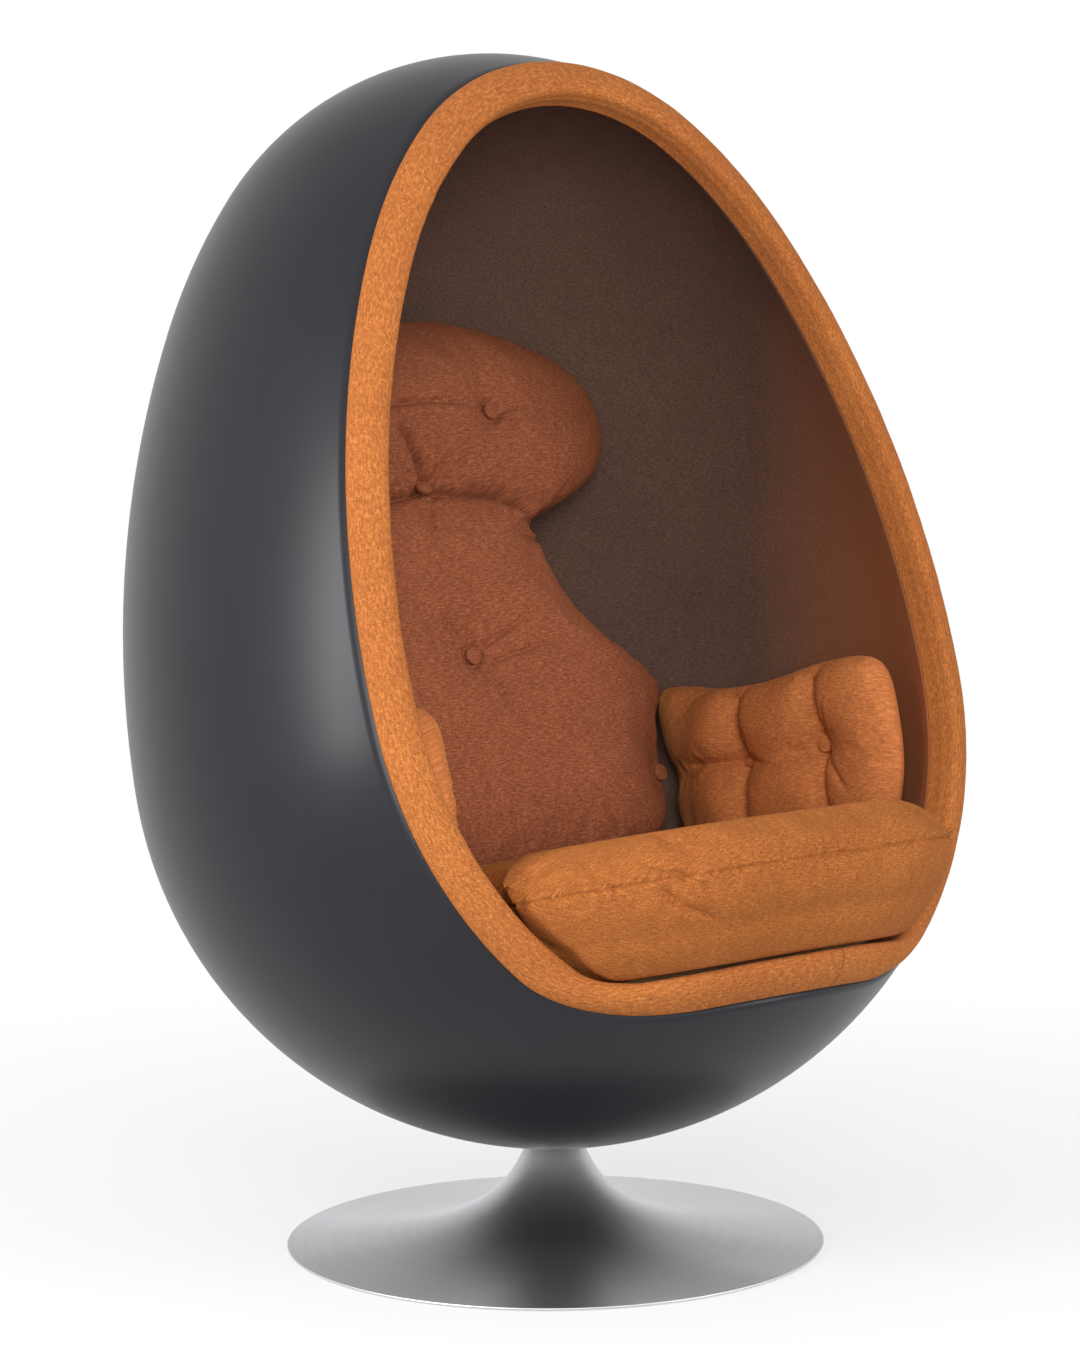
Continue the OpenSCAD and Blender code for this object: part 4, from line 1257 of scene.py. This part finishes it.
def make_camera():
    """Stands where the photograph was taken."""
    data = bpy.data.cameras.new("camera")
    data.sensor_fit = "AUTO"
    data.sensor_width = SENSOR_W
    data.lens = FOCAL_PIXELS / FRAME_H * SENSOR_W
    data.shift_x = SHIFT_X / FRAME_H
    data.shift_y = SHIFT_Y / FRAME_H
    a, p = CAMERA_AZIMUTH, CAMERA_PITCH
    right = Vector((math.cos(a), math.sin(a), 0))
    ahead = Vector((-math.sin(a) * math.cos(p), math.cos(a) * math.cos(p), math.sin(p)))
    up = right.cross(ahead)
    rolled = right * math.cos(CAMERA_ROLL) + up * math.sin(CAMERA_ROLL)
    risen = -right * math.sin(CAMERA_ROLL) + up * math.cos(CAMERA_ROLL)
    camera = placed("camera", data)
    camera.matrix_world = Matrix.Translation(CAMERA_PLACE) @ Matrix(
        (rolled, risen, -ahead)).transposed().to_4x4()
    bpy.context.scene.camera = camera


# Each lamp's name, place, aim, width, height and power
LAMPS = [
    ("key", (-2.3, -3.4, 1.75), (0.2, -0.1, 0.85), 1.4, 1.6, 112),
    ("left", (-3.35, 0.15, 1.55), (-0.4, -0.1, 0.75), 0.6, 2.0, 90),
    ("front", (1.6, -3.5, 1.7), (0, -0.2, 0.8), 1.4, 1.8, 52),
]


def softbox(name, place, aim, width, height, power):
    data = bpy.data.lights.new(name, "AREA")
    data.shape = "RECTANGLE"
    data.size = width
    data.size_y = height
    data.energy = power
    lamp = placed(name, data)
    lamp.location = place
    lamp.rotation_mode = "QUATERNION"
    lamp.rotation_quaternion = (Vector(aim) - Vector(place)).to_track_quat("-Z", "Y")


def make_world():
    """A white surround for the camera and for reflections, and plain soft light for the rest."""
    world = bpy.data.worlds.new("surround")
    bpy.context.scene.world = world
    world.use_nodes = True
    tree = world.node_tree
    tree.nodes.clear()
    rays = new_node(tree, "ShaderNodeLightPath", {}, None)
    camera, glossy, clear = (Wire(tree, rays[f"Is {kind} Ray"])
                             for kind in ("Camera", "Glossy", "Transmission"))
    seen = (camera + glossy + clear).clamped()
    back = new_node(tree, "ShaderNodeBackground",
                    {"Color": (1, 1, 1, 1), "Strength": seen * 0.52 + 0.48})
    new_node(tree, "ShaderNodeOutputWorld", {"Surface": back}, None)


FLOOR_R = 3
FLOOR_Z = -0.0005


def make_floor():
    """A pale floor that keeps the chair's shadow and fades into the white surround."""
    points = [(FLOOR_R * math.cos(a), FLOOR_R * math.sin(a), FLOOR_Z) for a in round_turn(96)]
    floor = mesh_piece("floor", points, [range(96)], smooth=False)
    f = Finish("pale_floor")
    radius, _ = f.round_axis()
    shader = f.add("BsdfPrincipled", {"Base Color": (0.96, 0.96, 0.96, 1), "Roughness": 0.9,
                                      "Specular IOR Level": 0.1})
    clear = f.add("BsdfTransparent", {})
    fade = radius.step(0.35, 1.5) * 0.40 + 0.60
    paint(floor, f.done(f.add("MixShader", {0: fade, 1: shader, 2: clear})))


def make_stage():
    make_camera()
    make_world()
    make_floor()
    for lamp in LAMPS:
        softbox(*lamp)
    bpy.context.scene.view_settings.view_transform = "Standard"


def back_cloth(obj):
    """Lays the weave over the back cushion: level across, and on round its edge."""
    p = from_back(coordinates(obj))
    lay_cloth(obj, p[:, 0] + 0.5 * p[:, 1] * np.clip(p[:, 0] / 0.15, -1, 1),
              p[:, 2] + 0.25 * p[:, 1])


def arm_cloth(obj):
    p = from_pod(coordinates(obj))
    lay_cloth(obj, p[:, 1], p[:, 2] + 0.3 * np.abs(p[:, 0]))


def seat_cloth(obj):
    p = from_pod(coordinates(obj))
    nose = SEAT_FRONT_R - float(egg_r(SEAT_SEAM)) - SEAT_PROUD
    across = np.minimum(np.abs(p[:, 0]), 0.9 * SEAT_FRONT_R)
    inward = p[:, 1] - nose + np.sqrt(SEAT_FRONT_R ** 2 - across ** 2)
    lay_cloth(obj, p[:, 0], p[:, 2] + np.where(p[:, 2] > SEAT_SEAM, inward, -inward))


# Half section of a covered button, a rounded head over a drawn-in foot, as shares
DOME = [(0.80, -0.50), (0.97, -0.30), (1.0, 0.0), (0.995, 0.20), (0.96, 0.36), (0.90, 0.44),
        (0.84, 0.445), (0.78, 0.43), (0.72, 0.45), (0.62, 0.51), (0.48, 0.57), (0.32, 0.61),
        (0.16, 0.635), (0.0, 0.64)]
BUTTON_SIDES = 32


def sideways(direction):
    """Two directions at right angles to one and to each other."""
    across = unit(np.cross(direction, [0.0, 0.0, 1.0]))
    return across, np.cross(across, direction)


def button_at(centre, out):
    """Points and faces of one covered button on a surface."""
    out = unit(out)
    across, up = sideways(out)
    rows = [(BUTTON_R * r, BUTTON_T * h) for r, h in DOME]
    points = [centre + out * h + (across * math.cos(a) + up * math.sin(a)) * r
              for r, h in rows[:-1] for a in round_turn(BUTTON_SIDES)]
    points += [centre + out * rows[0][1], centre + out * rows[-1][1]]
    return points, skin_faces(len(rows) - 1, BUTTON_SIDES)


def make_buttons(name, node, spots, finish):
    points, faces = [], []
    for centre, out in spots:
        p, f = button_at(centre, out)
        faces += [tuple(i + len(points) for i in face) for face in f]
        points += p
    obj = point_outwards(mesh_piece(name, points, faces))
    local = from_pod(coordinates(obj))
    lay_cloth(obj, local[:, 0], local[:, 2])
    settle(obj, finish, "pod", "cushion_cloth", node)


THREAD_R = 0.00045
STITCH_L = 0.0030
STITCH_GAP = 0.0048
STITCH_SEED = 7
STITCH_UP = 0.0016


def stitch_tree():
    """Geometry Nodes that lay short threads along a line, no two quite alike."""
    tree = bpy.data.node_groups.new("stitches", "GeometryNodeTree")
    inputs = {"Line": "Geometry", "Gap": "Float", "Length": "Float", "Radius": "Float",
              "Seed": "Int", "Cloth": "Material"}
    ids = {name: tree.interface.new_socket(
        name, in_out="INPUT", socket_type="NodeSocket" + kind).identifier
        for name, kind in inputs.items()}
    tree.interface.new_socket("Threads", in_out="OUTPUT", socket_type="NodeSocketGeometry")

    def node(kind, sockets, out=0, **settings):
        return new_node(tree, kind, sockets, out, **settings)

    given = node("NodeGroupInput", {}, None)
    line = node("GeometryNodeMeshToCurve", {"Mesh": given["Line"]})
    spots = node("GeometryNodeCurveToPoints", {"Curve": line, "Length": given["Gap"]}, None,
                 mode="LENGTH")
    ball = node("GeometryNodeMeshUVSphere", {"Segments": 8, "Rings": 6, "Radius": 1.0})
    chance = node("FunctionNodeRandomValue", {2: 0.40, 3: 0.58, "Seed": given["Seed"]}, 1,
                  data_type="FLOAT")
    half = node("ShaderNodeMath", {0: given["Length"], 1: chance}, operation="MULTIPLY")
    size = node("ShaderNodeCombineXYZ", {0: given["Radius"], 1: given["Radius"], 2: half})
    threads = node("GeometryNodeInstanceOnPoints",
                   {"Points": spots["Points"], "Instance": ball,
                    "Rotation": spots["Rotation"], "Scale": size})
    whole = node("GeometryNodeRealizeInstances", {0: threads})
    smooth = node("GeometryNodeSetShadeSmooth", {0: whole})
    done = node("GeometryNodeSetMaterial", {"Geometry": smooth, "Material": given["Cloth"]})
    node("NodeGroupOutput", {0: done}, None)
    return tree, ids


def make_stitches(name, line, finish, slot):
    """A row of threads along a line of points, as one plain mesh."""
    data = bpy.data.meshes.new(name)
    data.from_pydata([tuple(p) for p in line], [(i, i + 1) for i in range(len(line) - 1)], [])
    obj = placed(name, data)
    tree, ids = stitch_tree()
    modifier = obj.modifiers.new("stitches", "NODES")
    modifier.node_group = tree
    for key, value in (("Gap", STITCH_GAP), ("Length", STITCH_L), ("Radius", THREAD_R),
                       ("Seed", STITCH_SEED), ("Cloth", finish)):
        modifier[ids[key]] = value
    bake_modifiers(obj)
    lay_cloth(obj, coordinates(obj)[:, 0], coordinates(obj)[:, 2])
    settle(obj, finish, "pod", slot)


def seam_line(seat):
    """Points along the seam of the seat cushion's front, just above the groove."""
    line = []
    for turn in np.radians(np.arange(-40, 40.5, 0.5)):
        out = np.array([math.sin(turn), -math.cos(turn), 0.0])
        inner = np.array([0, 0, SEAT_SEAM + STITCH_UP])
        start, inner = in_pod([out * 0.7 + inner, inner])
        hit, place, _, _ = seat.ray_cast(Vector(start), Vector(inner - start))
        if hit:
            line.append(np.array(place))
    return line


def settle(obj, finish, body, slot, *nodes):
    """Gives a piece its finish and the body it moves with, and hides the CAD solids it takes the
    place of.
    """
    paint(obj, finish)
    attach(obj, body)
    if nodes:
        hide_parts(*nodes)


def surface_under(obj, start, direction, reach=0.0065):
    """Where a line meets a piece, and the way out of the piece over a small patch there."""
    direction = unit(direction)
    across, up = sideways(direction)
    hits = []
    for turn in round_turn(6):
        aside = (across * math.cos(turn) + up * math.sin(turn)) * reach
        hit, place, _, _ = obj.ray_cast(Vector(start + aside), Vector(direction))
        if not hit:
            raise ValueError(f"no surface of {obj.name} there")
        hits.append(np.array(place))
    hits = np.array(hits)
    out = np.cross(hits[1] - hits[4], hits[2] - hits[5]) + np.cross(hits[0] - hits[3],
                                                                    hits[1] - hits[4])
    out *= -np.sign(out @ direction) / np.linalg.norm(out)
    return hits.mean(0), out


def back_spots(obj, places, lift=BUTTON_LIFT):
    spots = []
    for q in places:
        start, end = in_back([[q[0], -0.3, q[1]], [q[0], 0.0, q[1]]])
        way = unit(end - start)
        place, out = surface_under(obj, start, way)
        out = unit(out - way)
        spots.append((place + out * lift, out))
    return spots


def arm_spots(obj, side):
    spots = []
    for q in ARM_BUTTONS:
        start = in_pod([[0.0, -q[0], q[1]]])[0]
        place, out = surface_under(obj, start, (side, 0, 0))
        spots.append((place + out * BUTTON_LIFT, out))
    return spots


def dress_frame(finishes):
    """Gives every CAD solid that stays its own finish."""
    for part in frame["record"]["subparts"]:
        paint(frame["nodes"][part["node"]], finishes[part["material_slot"]])


def main():
    make_stage()
    rust, orange, amber = wool("rust_wool"), wool("orange_wool"), wool("amber_wool")
    finishes = {
        "felt": felt(), "dark_steel": painted_steel(), "brushed_steel": spun_steel(),
        "bush_plastic": plastic("bush_plastic", (226, 222, 206), (214, 208, 190)),
        "black_plastic": plastic("black_plastic", (34, 34, 36), (44, 44, 46)),
        "turned_steel": turned_steel(),
        "shell_gelcoat": gelcoat(), "plywood": plywood(), "foam": open_foam(),
        # The lining's wool has painted shade in its shades and painted light towards the opening
        "lining_cloth": wool("lining_wool_painted_shade", painted_light=(190, 114, 64)),
        "rim_cloth": wool("rim_wool", seam_x=RIM_SEAM_X),
        "seat_cloth": orange, "cushion_cloth": rust,
    }
    dress_frame(finishes)

    for make, body, slot, node in ((make_shell, "pod", "shell_gelcoat", "outer_shell"),
                                   (make_base, "base", "brushed_steel", "base_trumpet"),
                                   (make_lining, "pod", "lining_cloth", "lining_cloth")):
        settle(make(), finishes[slot], body, slot, node)
    rim = make_rim()
    settle(rim, finishes["rim_cloth"], "pod", "rim_cloth", "rim_roll")
    seat = make_seat()
    seat_cloth(seat)
    settle(seat, orange, "pod", "seat_cloth", "seat_cushion")
    make_stitches("seat_stitches", seam_line(seat), orange, "seat_cloth")
    back = make_back()
    back_cloth(back)
    settle(back, rust, "pod", "cushion_cloth", "back_cushion")
    for word, side in (("left", -1), ("right", 1)):
        arm = make_arm("arm_pillow_" + word, side)
        arm_cloth(arm)
        settle(arm, amber, "pod", "cushion_cloth", "arm_cushion_" + word)
        make_buttons("arm_studs_" + word, "arm_buttons_" + word, arm_spots(arm, side), amber)
    spots = {"head": back_spots(back, [HEAD_BUTTON, HEAD_BUTTON * [-1, 1]]),
             "back": back_spots(back, [WAIST_BUTTON], CREASE_LIFT)
             + back_spots(back, [LUMBAR_BUTTON]),
             "corner": back_spots(back, [CORNER_BUTTON, CORNER_BUTTON * [-1, 1]])}
    for word, places in spots.items():
        make_buttons(word + "_studs", word + "_buttons", places, rust)


main()
